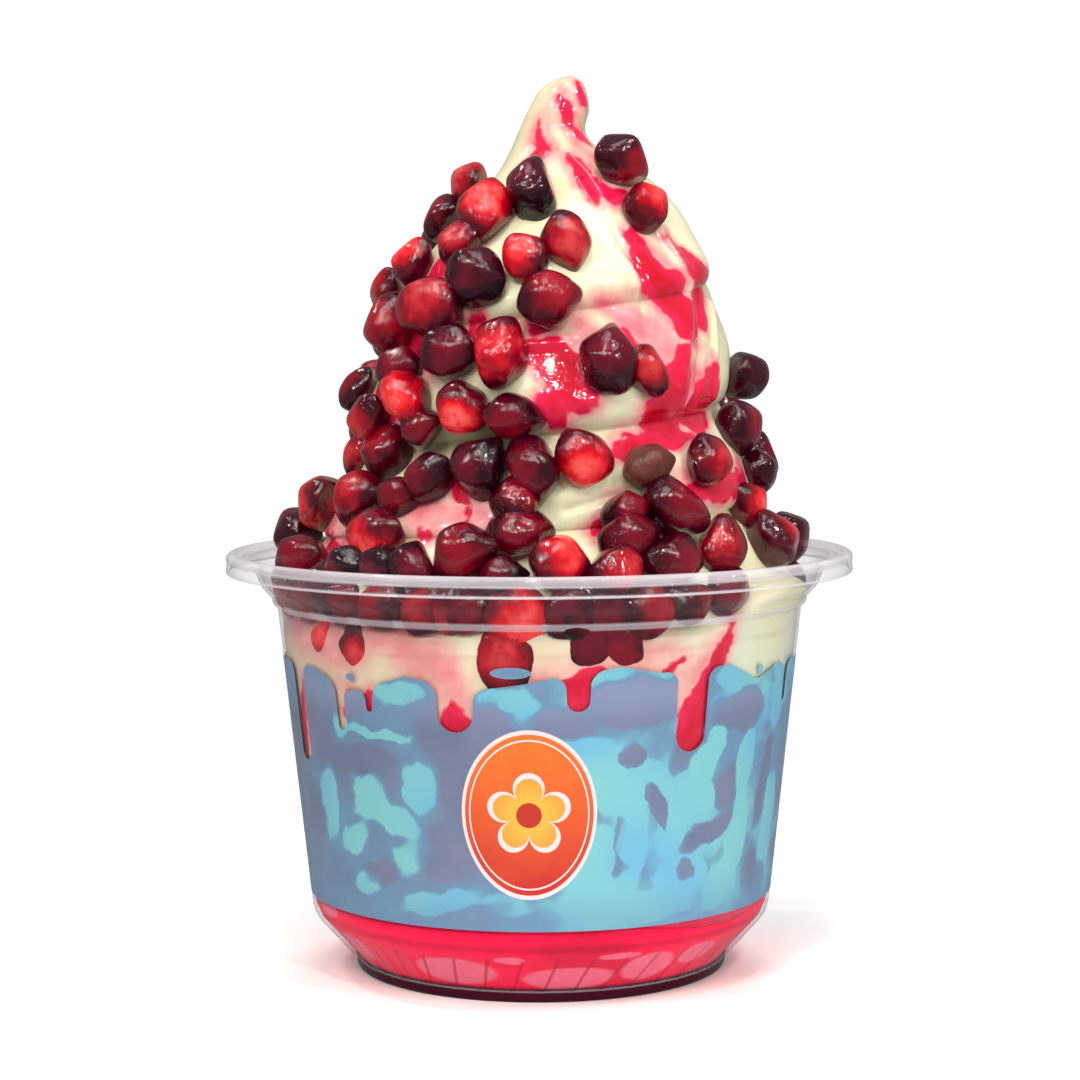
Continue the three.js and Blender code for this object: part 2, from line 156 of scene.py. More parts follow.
# Seeds against the wall under the rim: azimuth, height, length, slope, tone, and how far the
# centre is from the wall.
WALL_SEEDS = [
    (-150, 71.4, 9.5, 10, 1.2, 4), (-137, 71.5, 9, -20, 0.8, 4), (-125, 71.6, 9.6, 15, 1.5, 4),
    (-114.5, 71.4, 9, 30, 1.8, 4), (-104.5, 70.8, 9, -30, 1.3, 4), (-95, 70.6, 11.8, -12, 3, 3.8),
    (-83, 70.8, 10, 10, 0.5, 3.8), (-75, 70.4, 10, -15, 0.7, 3.8), (-66, 71, 10, 5, 1.6, 4),
    (-57, 72, 8.4, 0, 1.1, 4), (-165, 71, 9, 20, 1.8, 4),
    (-144, 64.4, 8.4, 40, 3, 3), (-133, 63.8, 8.8, -40, 2.4, 2.8), (-97, 63, 11.4, 80, 2.1, 2.4),
    (-79, 65.4, 9.6, 20, 0.6, 2.6), (-72, 64.6, 9, -30, 1, 2.6),
    (8, 71, 9.6, 20, 1, 4), (20, 71.5, 9, -20, 0.4, 4), (33, 70.8, 10, 30, 2, 4),
    (46, 71.4, 9.4, 0, 0.6, 4), (60, 71, 10, -30, 1.6, 4), (74, 70.6, 9, 15, 0.2, 4),
    (87, 71.2, 9.8, 40, 2.6, 4), (101, 71, 9.2, -15, 0.8, 4), (115, 71.4, 10, 10, 1.2, 4),
    (129, 70.8, 9.4, 30, 0.3, 4), (143, 71.2, 9.6, -25, 2, 4), (157, 71.4, 9.2, 0, 0.9, 4),
    (170, 71, 9.6, 25, 1.4, 4),
    (24, 64.5, 9, 40, 1, 2.8), (52, 65, 9.6, 10, 2, 2.8), (81, 63.8, 9, 70, 0.5, 2.6),
    (118, 64.6, 10, -20, 1.5, 2.8), (150, 64, 9, 50, 2.5, 2.8), (172, 64.6, 9.4, 15, 1, 2.8),
]

# Syrup run over the ice cream, as chains of (azimuth, height, half width).
STREAKS = [
    [(-52, 164.5, 0.8), (-44, 161, 0.9)],
    [(-97, 162, 0.7), (-80, 159, 0.9), (-62, 156, 1.1), (-44, 153.6, 1.4)],
    [(-122, 157.5, 0.6), (-108, 152, 1.5), (-128, 148.4, 1.6)],
    [(-86, 150, 0.8), (-80, 146, 1.6), (-69, 143, 2.2), (-56, 142.2, 1.9)],
    [(-58, 138, 1.2), (-56, 133, 2), (-53, 128.8, 3.2), (-45, 125, 4.2), (-38, 121.4, 4.2)],
    [(-40, 136, 1), (-32, 132.6, 2), (-23, 128, 3), (-27, 122, 2.4)],
    [(-106, 116, 0.6), (-99, 116.2, 1.8), (-91, 115.4, 3.4), (-84, 112, 4.4), (-81, 108.6, 3.2)],
    [(-90, 108, 2.4), (-88, 104, 1.8)], [(-66, 119, 1.4), (-64, 115.6, 2.2)],
    [(-97, 119, 1), (-92, 120.4, 1.6), (-98, 120, 0.8)],
    [(-42, 116, 1.2), (-48, 111, 4), (-54, 105.4, 5), (-52, 102, 4)],
    [(-24, 113.2, 1.4), (-31, 108, 4), (-37, 104, 4.6)],
    [(-72, 97.8, 1.2), (-66, 99, 2.4), (-54, 100, 1.9), (-42, 100.5, 1.2)],
    [(-122, 95.2, 0.7), (-113, 90, 1.1), (-111, 86, 0.6)],
    [(-126, 86, 0.8), (-122, 83, 1)],
    [(-169, 83, 1.2), (-158, 80, 2), (-145, 78.5, 1.6)],
    [(-48, 91.5, 2), (-38, 92.2, 2.8), (-24, 93.2, 2)],
    [(-72, 90.5, 1.4), (-72, 87, 2), (-76, 84, 1.6)],
    [(-136, 136, 1.4), (-142, 131, 2.8), (-150, 125, 4), (-152, 117, 4.4), (-154, 110, 3.6)],
    [(-136, 128, 1.2), (-140, 120, 2.6), (-138, 115, 2.8), (-146, 106, 2)],
    [(-166, 103, 2.2), (-158, 98, 2.8), (-152, 92, 1.8)],
    [(-116, 121, 1.2), (-118, 118, 1.6)],
    [(30, 152, 1), (48, 146, 1.8), (40, 139, 2.4), (58, 133, 2)],
    [(20, 122, 1.4), (34, 117, 2.6), (40, 110, 3), (30, 104, 1.8)],
    [(75, 128, 1.2), (84, 122, 2.4), (98, 119, 1.8)],
    [(70, 101, 1), (82, 97, 2.2), (96, 96, 2)],
    [(112, 112, 1), (120, 106, 2.2), (126, 101, 1.5)],
    [(140, 92, 1.2), (150, 88, 2), (160, 87, 1.4)],
    [(20, 90, 1), (34, 86, 2.2), (48, 85, 1.6)],
]
# Where thinned syrup tints the ice cream pink.
WASHES = [
    [(-96, 163, 1.5), (-90, 158, 2.4), (-108, 153, 3)],
    [(-64, 158, 2), (-60, 150, 2.6)],
    [(-84, 122, 3), (-78, 119, 3.6), (-88, 112, 3.6), (-86, 105, 3.4)],
    [(-56, 136, 3), (-52, 129, 4.6), (-44, 122, 5), (-34, 118, 4.6)],
    [(-74, 124, 2.6), (-62, 121, 5), (-50, 117, 6), (-36, 112, 5), (-50, 106, 6)],
    [(-134, 138, 3), (-128, 131, 3), (-120, 124, 2.6)],
    [(-132, 91, 3), (-124, 88, 4.4), (-112, 88, 4.4), (-102, 87, 3)],
    [(-172, 86, 3), (-162, 82, 4.6), (-148, 79, 4)],
    [(-48, 94, 4), (-34, 93, 4), (-22, 95, 3)],
    [(-126, 124, 3), (-128, 116, 4), (-146, 104, 4), (-142, 98, 3)],
    [(-100, 118, 2.4), (-110, 119, 2)],
    [(28, 150, 3), (46, 140, 5), (56, 132, 4)],
    [(24, 118, 5), (36, 110, 6), (30, 102, 4)],
    [(82, 124, 4), (96, 118, 4)],
    [(76, 99, 5), (96, 96, 4)],
    [(116, 110, 4), (126, 102, 4)],
    [(144, 91, 4), (158, 88, 4)],
    [(24, 88, 4), (44, 86, 4)],
]
WALL_WASHES = [
    [(-165, 67, 4), (-150, 66, 6), (-138, 65, 6.4), (-126, 66, 4), (-118, 68, 3)],
    [(-124, 67, 4), (-114, 62, 5), (-108, 56, 5)],
    [(-94, 56, 4), (-84, 58, 6), (-72, 61, 6), (-62, 61, 6)],
    [(-52, 62, 3), (-58, 56, 6), (-60, 46, 6)],
    [(22, 66, 3), (26, 56, 6)], [(60, 61, 5), (72, 58, 6)], [(106, 62, 4), (110, 54, 6)],
    [(142, 62, 6), (160, 60, 6)],
]
# Syrup run down inside the wall.
WALL_STREAKS = [
    [(-45, 70, 0.4), (-46, 65.6, 1.1), (-50, 61, 1.9), (-53, 55, 2.6), (-56, 49, 3), (-57, 42, 4)],
    [(-64, 59, 0.8), (-60, 61.4, 1), (-57, 62.5, 0.6)],
    [(-109, 54, 1.6), (-108, 50, 4), (-108, 46, 4)],
    [(-90, 56, 1), (-85, 57.4, 2), (-80, 59, 2.6), (-74, 60.4, 1.6)],
    [(-82, 58, 3), (-82, 53, 3)],
    [(-155, 55, 1.2), (-158, 49, 2), (-160, 42, 2.5)],
    [(-138, 56.4, 1), (-133, 54.6, 1), (-138, 52, 0.6)],
    [(-129, 55, 1.4), (-129, 52, 1.5)],
    [(-6, 62, 0.7), (-6, 57, 0.7)],
    [(-21, 55, 0.7), (-21, 51, 0.7)],
    [(20, 68, 0.6), (24, 62, 1.6), (26, 54, 3), (28, 44, 3.4)],
    [(58, 62, 2), (68, 59, 3), (74, 52, 3.6)],
    [(104, 66, 0.8), (108, 60, 2), (112, 52, 3.4)],
    [(140, 63, 2), (150, 61, 3), (162, 60, 2.4)],
]
# Folds in the ice cream, as chains of (azimuth, height), each with its height and half width.
FOLDS = [
    (1.1, 1.6, [(-96, 159), (-84, 153), (-74, 144), (-68, 136), (-62, 128)]),
    (-0.9, 0.8, [(-84, 146), (-68, 138), (-60, 130), (-56, 122)]),
    (0.9, 1.2, [(-46, 144), (-40, 138), (-38, 132)]),
    (-1.0, 0.7, [(-24, 126), (-30, 119), (-36, 111), (-40, 106)]),
    (0.9, 1.1, [(-33, 126), (-40, 118), (-47, 110)]),
    (0.8, 1.2, [(-14, 124), (-20, 116), (-26, 108)]),
    (0.8, 1.6, [(-90, 91), (-80, 94), (-70, 95)]),
    (-0.7, 0.8, [(-86, 89), (-76, 91), (-68, 92)]),
    (0.8, 1.4, [(-80, 108), (-70, 109.5), (-60, 112)]),
    (0.9, 1.5, [(-110, 119.5), (-97, 117.5), (-86, 118)]),
    (0.9, 1.4, [(30, 146), (52, 138), (66, 128)]),
    (-0.8, 0.8, [(44, 140), (62, 130), (74, 121)]),
    (0.8, 1.3, [(96, 130), (112, 122), (124, 112)]),
    (0.7, 1.4, [(60, 104), (78, 100), (98, 98)]),
]

# The printed band: its lower edge, and the notches in its upper edge on the front as azimuth,
# height of the lowest point and half width, then the crests between as azimuth and height.
BAND_BOTTOM = 14.7
BAND_PROUD = 0.07
NOTCHES = [
    (-156, 41.4, 2.3), (-138, 48.6, 1.05), (-129, 52.6, 0.8), (-108, 50, 3.3), (-82, 53.8, 2.1),
    (-56, 45.6, 3.2), (-21, 51.8, 0.8),
]
CRESTS = [
    (-176, 59), (-148, 59.2), (-134, 56), (-119, 59.4), (-103, 57.6), (-94, 58.6), (-87, 59.8),
    (-73, 61.4), (-64, 60), (-46, 60.4), (-36, 57), (-28, 59), (-14, 59),
]
CREST_ROUND = 2.6
BAND_COLUMNS, BAND_RINGS = 1800, 26
BAND_SPACING = 0.2  # degrees between columns
# Drops of ink above the band: azimuth, height, half width, half height.
DOTS = [(-96, 60.6, 3.6, 1), (-134, 58.4, 1.2, 0.6), (-35, 58.8, 0.9, 0.8), (-20, 59.6, 0.5, 0.5),
        (24, 60.4, 1.1, 0.8), (63, 61, 0.6, 0.6), (71, 59.6, 2.6, 0.9), (128, 60.2, 1.2, 0.7)]
DOT_SIDES = 32


# ---- Small tools --------------------------------------------------------------------------

def smooth_step(value, low, high):
    share = np.clip((value - low) / (high - low), 0, 1)
    return share * share * (3 - 2 * share)


def smooth_at(rows, height, column):
    """A column of a table at some heights, on a smooth curve through the rows."""
    z, v = rows[:, 0], rows[:, column]
    height = np.clip(height, z[0], z[-1])
    k = np.clip(np.searchsorted(z, height) - 1, 0, len(z) - 2)
    before = np.maximum(np.arange(len(z)) - 1, 0)
    after = np.minimum(np.arange(len(z)) + 1, len(z) - 1)
    slope = (v[after] - v[before]) / (z[after] - z[before])
    span = z[k + 1] - z[k]
    t = (height - z[k]) / span
    start = (1 + 2 * t) * (1 - t) ** 2 * v[k] + t * (1 - t) ** 2 * span * slope[k]
    end = t * t * (3 - 2 * t) * v[k + 1] + t * t * (t - 1) * span * slope[k + 1]
    return start + end


def polar(azimuth, radius, height):
    azimuth, radius, height = np.broadcast_arrays(azimuth, radius, height)
    return np.stack([radius * np.cos(azimuth), radius * np.sin(azimuth), height], -1)


def make_random(start):
    state = start

    def draw(low, high):
        nonlocal state
        state = (state * 16807) % 2147483647
        return low + (high - low) * state / 2147483647

    return draw


def new_mesh(name, points, faces):
    """A smooth shaded mesh from points in millimetres and arrays of faces of one size each."""
    mesh = bpy.data.meshes.new(name)
    corners = np.concatenate([f.ravel() for f in faces]).astype(np.int32)
    sizes = np.concatenate([np.full(len(f), f.shape[1], np.int32) for f in faces])
    starts = np.concatenate([[0], np.cumsum(sizes)[:-1]]).astype(np.int32)
    mesh.vertices.add(len(points))
    mesh.vertices.foreach_set("co", (np.asarray(points) * MM).astype(np.float32).ravel())
    mesh.loops.add(len(corners))
    mesh.loops.foreach_set("vertex_index", corners)
    mesh.polygons.add(len(sizes))
    mesh.polygons.foreach_set("loop_start", starts)
    mesh.polygons.foreach_set("loop_total", sizes)
    mesh.polygons.foreach_set("use_smooth", np.ones(len(sizes), bool))
    mesh.update(calc_edges=True)
    mesh.validate()
    return mesh


def add_piece(name, mesh, material, replaced=()):
    piece = bpy.data.objects.new(name, mesh)
    bpy.context.scene.collection.objects.link(piece)
    mesh.materials.append(material)
    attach(piece, "root")
    if replaced:
        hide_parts(*replaced)
    return piece


def give(mesh, name, values):
    kind = "FLOAT_VECTOR" if np.ndim(values) == 2 else "FLOAT"
    field = "vector" if np.ndim(values) == 2 else "value"
    layer = mesh.attributes.new(name, kind, "POINT")
    layer.data.foreach_set(field, np.asarray(values, np.float32).ravel())


def grid_faces(rows, columns, first=0):
    """Quads between rows of points, each row running round the axis."""
    ids = first + np.arange(rows * columns).reshape(rows, columns)
    after = np.roll(ids, -1, axis=1)
    return np.stack([ids[:-1], after[:-1], after[1:], ids[1:]], -1).reshape(-1, 4)


def skin_over(low_pole, rings, high_pole):
    """Points and faces of a closed skin over rings, with a pole at each end."""
    rows, columns = rings.shape[:2]
    points = np.concatenate([[low_pole], rings.reshape(-1, 3), [high_pole]])
    first = 1 + np.arange(columns)
    last = first + (rows - 1) * columns
    low = np.stack([np.zeros(columns, int), np.roll(first, -1), first], -1)
    high = np.stack([last, np.roll(last, -1), np.full(columns, len(points) - 1)], -1)
    return points, [grid_faces(rows, columns, 1), low, high]


def densified(profile, spacing):
    """A profile with points added so that no edge is longer than the spacing."""
    made = [profile[0]]
    for before, after in zip(profile, profile[1:]):
        steps = max(1, math.ceil(math.dist(before, after) / spacing))
        for k in range(1, steps + 1):
            made.append(tuple(b + (a - b) * k / steps for b, a in zip(before, after)))
    return made


def rounded(profile, radius, steps=4):
    """A profile with each corner turned into a small curve."""
    made = [profile[0]]
    for before, corner, after in zip(profile, profile[1:], profile[2:]):
        before, corner, after = (np.array(p, float) for p in (before, corner, after))
        back, on = before - corner, after - corner
        size = min(radius, 0.45 * np.linalg.norm(back), 0.45 * np.linalg.norm(on))
        start = corner + back / np.linalg.norm(back) * size
        end = corner + on / np.linalg.norm(on) * size
        for k in range(steps + 1):
            t = k / steps
            made.append(tuple((1 - t) ** 2 * start + 2 * t * (1 - t) * corner + t * t * end))
    return made + [profile[-1]]


# ---- Shader tools -------------------------------------------------------------------------

def tint(red, green, blue):
    """A colour given as 0 to 255 on the screen."""
    parts = [c / 255 for c in (red, green, blue)]
    return (*[p / 12.92 if p <= 0.04045 else ((p + 0.055) / 1.055) ** 2.4 for p in parts], 1)


class Value:
    """A number that varies over a surface."""

    def __init__(self, shade, socket):
        self.shade, self.socket = shade, socket

    def __add__(self, other):
        return self.shade.math("ADD", self, other)

    __radd__ = __add__

    def __sub__(self, other):
        return self.shade.math("SUBTRACT", self, other)

    def __rsub__(self, other):
        return self.shade.math("SUBTRACT", other, self)

    def __mul__(self, other):
        return self.shade.math("MULTIPLY", self, other)

    __rmul__ = __mul__

    def __truediv__(self, other):
        return self.shade.math("DIVIDE", self, other)

    def __rtruediv__(self, other):
        return self.shade.math("DIVIDE", other, self)

    def __neg__(self):
        return 0 - self

    def step(self, low, high):
        """0 up to low, 1 from high on, smoothly; or the other way round if high is lower."""
        inputs = {0: self, 1: low, 2: high}
        return self.shade.node("MapRange", inputs, interpolation_type="SMOOTHSTEP")

    def least(self, other):
        return self.shade.math("MINIMUM", self, other)

    def most(self, other):
        return self.shade.math("MAXIMUM", self, other)

    def kept(self):
        return self.shade.node("Clamp", {0: self})


class Shade:
    """One material and the nodes in it."""

    def __init__(self, name):
        self.material = bpy.data.materials.new(name)
        self.material.use_nodes = True
        self.tree = self.material.node_tree
        self.tree.nodes.clear()
        self.place = self.node("TexCoord", output=3)

    def node(self, kind, inputs=None, output=0, **settings):
        made = self.tree.nodes.new("ShaderNode" + kind)
        for name, value in settings.items():
            setattr(made, name, value)
        for name, value in (inputs or {}).items():
            if isinstance(value, Value):
                self.tree.links.new(value.socket, made.inputs[name])
            else:
                made.inputs[name].default_value = value
        return Value(self, made.outputs[output])

    def math(self, operation, *values):
        return self.node("Math", dict(enumerate(values)), operation=operation)

    def mix(self, share, low, high):
        """From colour low to colour high."""
        return self.node("Mix", {0: share, 6: low, 7: high}, output=2, data_type="RGBA")

    def attribute(self, name, output=2):
        return self.node("Attribute", output=output, attribute_name=name)

    def noise(self, size, detail=2.0, roughness=0.5, where=None):
        """Noise from 0 to 1 whose lumps are about size millimetres across."""
        return self.node("TexNoise", {
            "Vector": where or self.place, "Scale": 1 / (size * MM), "Detail": detail,
            "Roughness": roughness,
        })

    def sway(self, size, reach, detail=2.0):
        """Noise round 0, up to half the reach either way."""
        return (self.noise(size, detail) - 0.5) * reach

    def bump(self, height, depth, strength=1.0, normal=None):
        """A normal from a height of 0 to 1 that stands for a depth in millimetres."""
        inputs = {"Height": height, "Distance": depth * MM, "Strength": strength}
        if normal:
            inputs["Normal"] = normal
        return self.node("Bump", inputs)

    def along(self, axis):
        """The place along an axis in millimetres."""
        return self.node("SeparateXYZ", {0: self.place}, output=axis) * (1 / MM)

    def ellipse(self, flat, centre, half_sizes, tilt=0):
        """How far a flat place is from an ellipse's centre: 1 on its edge."""
        placed = self.node("Mapping", {
            "Vector": flat, "Location": (*centre, 0), "Rotation": (0, 0, math.radians(tilt)),
            "Scale": (*half_sizes, 1),
        }, vector_type="TEXTURE")
        return self.node("VectorMath", {0: placed}, output=1, operation="LENGTH")

    def principled(self, inputs):
        return self.node("BsdfPrincipled", inputs)

    def finish(self, surface):
        made = self.tree.nodes.new("ShaderNodeOutputMaterial")
        self.tree.links.new(surface.socket, made.inputs["Surface"])
        return self.material


# ---- Camera, floor and lights -------------------------------------------------------------

def camera():
    """The viewpoint: a little above the rim, level with the middle of the ice cream."""
    distance, aim = 519.45, 79.72
    picture_width, focal_length = 1080, 2767.7  # in pixels
    pitch, roll, yaw = math.radians(4.49), math.radians(-0.26), 0.00029
    forward = Vector((math.sin(yaw), math.cos(pitch), -math.sin(pitch))).normalized()
    level = forward.cross(Vector((0, 0, 1))).normalized()
    up = level.cross(forward)
    right = level * math.cos(roll) + up * math.sin(roll)
    up = up * math.cos(roll) - level * math.sin(roll)
    data = bpy.data.cameras.new("camera")
    data.sensor_width = 36
    data.lens = data.sensor_width * focal_length / picture_width
    data.clip_start, data.clip_end = 0.01, 20
    made = bpy.data.objects.new("camera", data)
    place = Vector((0, -distance * math.cos(pitch), aim + distance * math.sin(pitch))) * MM
    turned = Matrix((right, up, -forward)).transposed().to_4x4()
    made.matrix_world = Matrix.Translation(place) @ turned
    bpy.context.scene.collection.objects.link(made)
    bpy.context.scene.camera = made


def area_light(name, place, size, power, colour, mirrored=True):
    data = bpy.data.lights.new(name, "AREA")
    data.shape, data.size, data.energy, data.color = "DISK", size, power, colour
    made = bpy.data.objects.new(name, data)
    made.location = place
    made.rotation_euler = (LIT_PLACE - Vector(place)).to_track_quat("-Z", "Y").to_euler()
    made.visible_glossy = mirrored
    bpy.context.scene.collection.objects.link(made)


# How strong the white world is as light, in reflections, and as seen.
WORLD_LIGHT, WORLD_MIRRORED, WORLD_SEEN = 0.32, 0.24, 1.0
LIT_PLACE = Vector((0, 0, 0.09))
# Broad lights: name, place, size, power, colour, and whether reflections show it.
BROAD_LIGHTS = [
    ("key", (-0.3, -0.56, 0.56), 0.36, 1.3, (1, 0.99, 0.97), False),
    ("fill", (0.5, -0.5, 0.2), 0.34, 1.7, (0.97, 0.98, 1), False),
    ("back", (0.1, 0.5, 0.6), 0.4, 2.3, (1, 1, 1), False),
    ("sky", (0, -0.1, 0.8), 0.3, 0.8, (1, 1, 1), True),
]
# Small lights that make the glints on what is wet.
GLINT_COLOUR = (1, 0.95, 0.88)
LAMP_SIZE, LAMP_POWER = 0.03, 0.6
BULB_SIZE, BULB_POWER = 0.026, 0.2
LAMP_PLACES = [
    (0.16, -0.5, 0.46), (-0.02, -0.3, 0.62), (0.3, -0.2, 0.6), (-0.42, -0.3, 0.4), (-0.3, 0.1, 0.6),
    (0.42, -0.38, 0.34),
]
BULB_COLUMNS, BULB_ROWS = 3, 2
FLOOR_RADIUS = 0.5
FLOOR_FADE = (0.07, 0.3)  # from its middle to where nothing is left of it


def studio():
    scene = bpy.context.scene
    scene.view_settings.view_transform = "Standard"
    scene.view_settings.look = "None"
    world = bpy.data.worlds.new("studio")
    scene.world = world
    world.use_nodes = True
    light = world.node_tree.nodes.new("ShaderNodeLightPath")
    background = world.node_tree.nodes["Background"]
    background.inputs[0].default_value = (1, 1, 1, 1)
    level = None
    for rays, strength in (("Is Glossy Ray", WORLD_MIRRORED), ("Is Camera Ray", WORLD_SEEN)):
        chosen = world.node_tree.nodes.new("ShaderNodeMapRange")
        world.node_tree.links.new(light.outputs[rays], chosen.inputs[0])
        chosen.inputs[3].default_value = WORLD_LIGHT
        chosen.inputs[4].default_value = strength
        if level:
            world.node_tree.links.new(level.outputs[0], chosen.inputs[3])
        level = chosen
    world.node_tree.links.new(level.outputs[0], background.inputs[1])
    for light_values in BROAD_LIGHTS:
        area_light(*light_values)
    for k, place in enumerate(LAMP_PLACES):
        area_light(f"lamp_{k}", place, LAMP_SIZE, LAMP_POWER, GLINT_COLOUR)
    for k in range(BULB_COLUMNS * BULB_ROWS):
        row, column = divmod(k, BULB_COLUMNS)
        place = (-0.24 + 0.1 * column, -0.48 + 0.06 * row, 0.42 + 0.09 * row)
        area_light(f"bulb_{k}", place, BULB_SIZE, BULB_POWER, GLINT_COLOUR)
    bench = bmesh.new()
    bmesh.ops.create_circle(bench, cap_ends=True, radius=FLOOR_RADIUS, segments=96)
    mesh = bpy.data.meshes.new("floor")
    bench.to_mesh(mesh)
    bench.free()
    floor = bpy.data.objects.new("floor", mesh)
    scene.collection.objects.link(floor)
    shade = Shade("pale_floor")
    grain = shade.noise(60, 3)
    away = shade.node("VectorMath", {0: shade.place}, output=1, operation="LENGTH")
    surface = shade.principled({
        "Base Color": shade.mix(grain, tint(250, 250, 250), tint(253, 253, 252)), "Roughness": 0.6,
    })
    clear = shade.node("BsdfTransparent")
    floor.visible_glossy = False
    faded = shade.node("MixShader", {0: away.step(*FLOOR_FADE), 1: surface, 2: clear})
    mesh.materials.append(shade.finish(faded))


# ---- Shapes -------------------------------------------------------------------------------

OUTSIDE = [
    (FOOT_INNER_RADIUS, 0), (FOOT_RADIUS - 0.4, 0), (FOOT_RADIUS, 0.5),
    (FOOT_RADIUS + 0.1, FOOT_HEIGHT), (BEVEL_RADIUS - 1, BEVEL_HEIGHT - 1.2),
    (BEVEL_RADIUS - 0.2, BEVEL_HEIGHT), (BEVEL_RADIUS + 0.15, BEVEL_HEIGHT + 1.6),
    (NECK_RADIUS, NECK_HEIGHT), (NECK_RADIUS + 0.9, NECK_HEIGHT + 0.6),
    (NECK_RADIUS + 1.1, NECK_HEIGHT + 1.8), (SHOULDER_RADIUS - 0.9, SHOULDER_HEIGHT - 2.2),
    (SHOULDER_RADIUS, SHOULDER_HEIGHT), (SHOULDER_RADIUS + 0.4, SHOULDER_HEIGHT + 1.8),
]
RIM = [
    (RIM_RADIUS - 1, RIM_HEIGHT - 1.5), (RIM_RADIUS - 0.8, SKIRT_BOTTOM + 0.3),
    (RIM_RADIUS - 0.5, SKIRT_BOTTOM), (RIM_RADIUS - 0.1, SKIRT_BOTTOM),
    (RIM_RADIUS, SKIRT_BOTTOM + 0.4), (RIM_RADIUS - 0.1, RIM_HEIGHT - 1.9),
    (RIM_RADIUS - 0.35, RIM_HEIGHT - 1.7), (RIM_RADIUS - 0.05, RIM_HEIGHT - 1.4),
    (RIM_RADIUS, RIM_HEIGHT - 0.7), (RIM_RADIUS - 0.6, RIM_HEIGHT),
    (RIM_RADIUS - 1.7, RIM_HEIGHT), (RIM_RADIUS - 2.2, RIM_HEIGHT - 0.5),
    (RIM_RADIUS - 3.1, RIM_HEIGHT - 0.55), (RIM_RADIUS - 3.3, RIM_HEIGHT - 0.8),
    (RIM_RADIUS - 4.4, RIM_HEIGHT - 0.85),
]
INSIDE = [
    (FOOT_RADIUS - WALL, FLOOR_HEIGHT + WALL), (FOOT_RADIUS - WALL + 0.2, FOOT_HEIGHT + 0.4),
    (BEVEL_RADIUS - 1 - WALL, BEVEL_HEIGHT - 0.6), (BEVEL_RADIUS - WALL, BEVEL_HEIGHT + 1.6),
    (NECK_RADIUS - WALL, NECK_HEIGHT + 0.2), (NECK_RADIUS + 0.4, NECK_HEIGHT + 1.2),
    (NECK_RADIUS + 0.5, NECK_HEIGHT + 2.1), (SHOULDER_RADIUS - 1.5, SHOULDER_HEIGHT - 2),
    (SHOULDER_RADIUS - 0.6, SHOULDER_HEIGHT + 0.2), (SHOULDER_RADIUS - 0.2, SHOULDER_HEIGHT + 2.4),
]
CORNER_ROUND = 0.45
LONGEST_EDGE = 3
RIBS = 40
RIB_SPACING = 360 / RIBS  # degrees
RIB_COLUMNS = (-4.2, -2.4, -1, -0.6, -0.3, 0, 0.3, 0.6, 1, 2.4)  # degrees from a rib
RIB_HEIGHT = 0.3
RIB_HALF_WIDTH = 0.6  # degrees
RIB_SPAN = (2.2, 8.6)


def radius_on(profile, height):
    """The radius of a wall profile at some heights."""
    table = np.array(profile)
    return np.interp(height, table[:, 1], table[:, 0])


def wall_reach(height):
    """How far from the axis the contents reach at the wall."""
    return radius_on(INSIDE, height) + INTO_WALL


def wall_point(azimuth, height):
    return polar(azimuth, wall_reach(height), height)


def cup_mesh():
    under, floor = (FOOT_INNER_RADIUS - 1.4, FLOOR_HEIGHT), (30, FLOOR_HEIGHT + WALL)
    profile = [under, *OUTSIDE, *RIM, *INSIDE[::-1], floor]
    profile = np.array(densified(rounded(profile, CORNER_ROUND), LONGEST_EDGE))
    degrees = np.array([RIB_SPACING * rib + off for rib in range(RIBS) for off in RIB_COLUMNS])
    azimuth = np.radians(degrees)
    off = (degrees + RIB_SPACING / 2) % RIB_SPACING - RIB_SPACING / 2
    ridge = RIB_HEIGHT * np.exp(-((off / RIB_HALF_WIDTH) ** 2))
    radius, height = profile[:, 0], profile[:, 1]
    outward = np.arange(len(profile)) < np.argmax(radius)
    low, high = RIB_SPAN
    spread = outward * smooth_step(height, low - 0.4, low) * smooth_step(height, high, high - 2)
    rings = polar(azimuth[None], radius[:, None] + spread[:, None] * ridge[None], height[:, None])
    points, faces = skin_over((0, 0, FLOOR_HEIGHT), rings, (0, 0, FLOOR_HEIGHT + WALL))
    return new_mesh("cup_wall", points, faces)


def syrup_top(azimuth, radius):
    wave = np.sin(3 * azimuth + 0.6) + 0.6 * np.sin(5 * azimuth + 2)
    return SYRUP_HEIGHT + SYRUP_WAVE * wave * radius / BEVEL_RADIUS


def syrup_mesh():
    azimuth = np.arange(SYRUP_COLUMNS) / SYRUP_COLUMNS * TURN
    floor = FLOOR_HEIGHT + WALL - 0.1
    heights = np.linspace(floor, SYRUP_HEIGHT - 1.6, 26)
    sides = wall_point(azimuth, heights[:, None])
    edge = wall_reach(SYRUP_HEIGHT)
    radii = (edge, 0.8 * edge, 0.5 * edge, 0.2 * edge)
    top = [polar(azimuth, radius, syrup_top(azimuth, radius)) for radius in radii]
    floor_ring = polar(azimuth, wall_reach(floor) * 0.6, floor)[None]
    rings = np.concatenate([floor_ring, sides, np.array(top)])
    points, faces = skin_over((0, 0, floor), rings, (0, 0, SYRUP_HEIGHT))
    return new_mesh("syrup_layer", points, faces)


def turns_below(height):
    root = np.maximum(COIL_DROP ** 2 - 4 * COIL_SQUEEZE * (COIL_TOP - height), 0)
    return (COIL_DROP - np.sqrt(root)) / (2 * COIL_SQUEEZE)


def coil_place(azimuth, height):
    """Where a point lies between two creases of the coil, 0 to 1, and how swollen the coil is."""
    within = np.mod(turns_below(height) + azimuth / TURN, 1)
    none, full = COIL_FADE
    return within, np.clip((none - height) / (none - full), 0, 1)


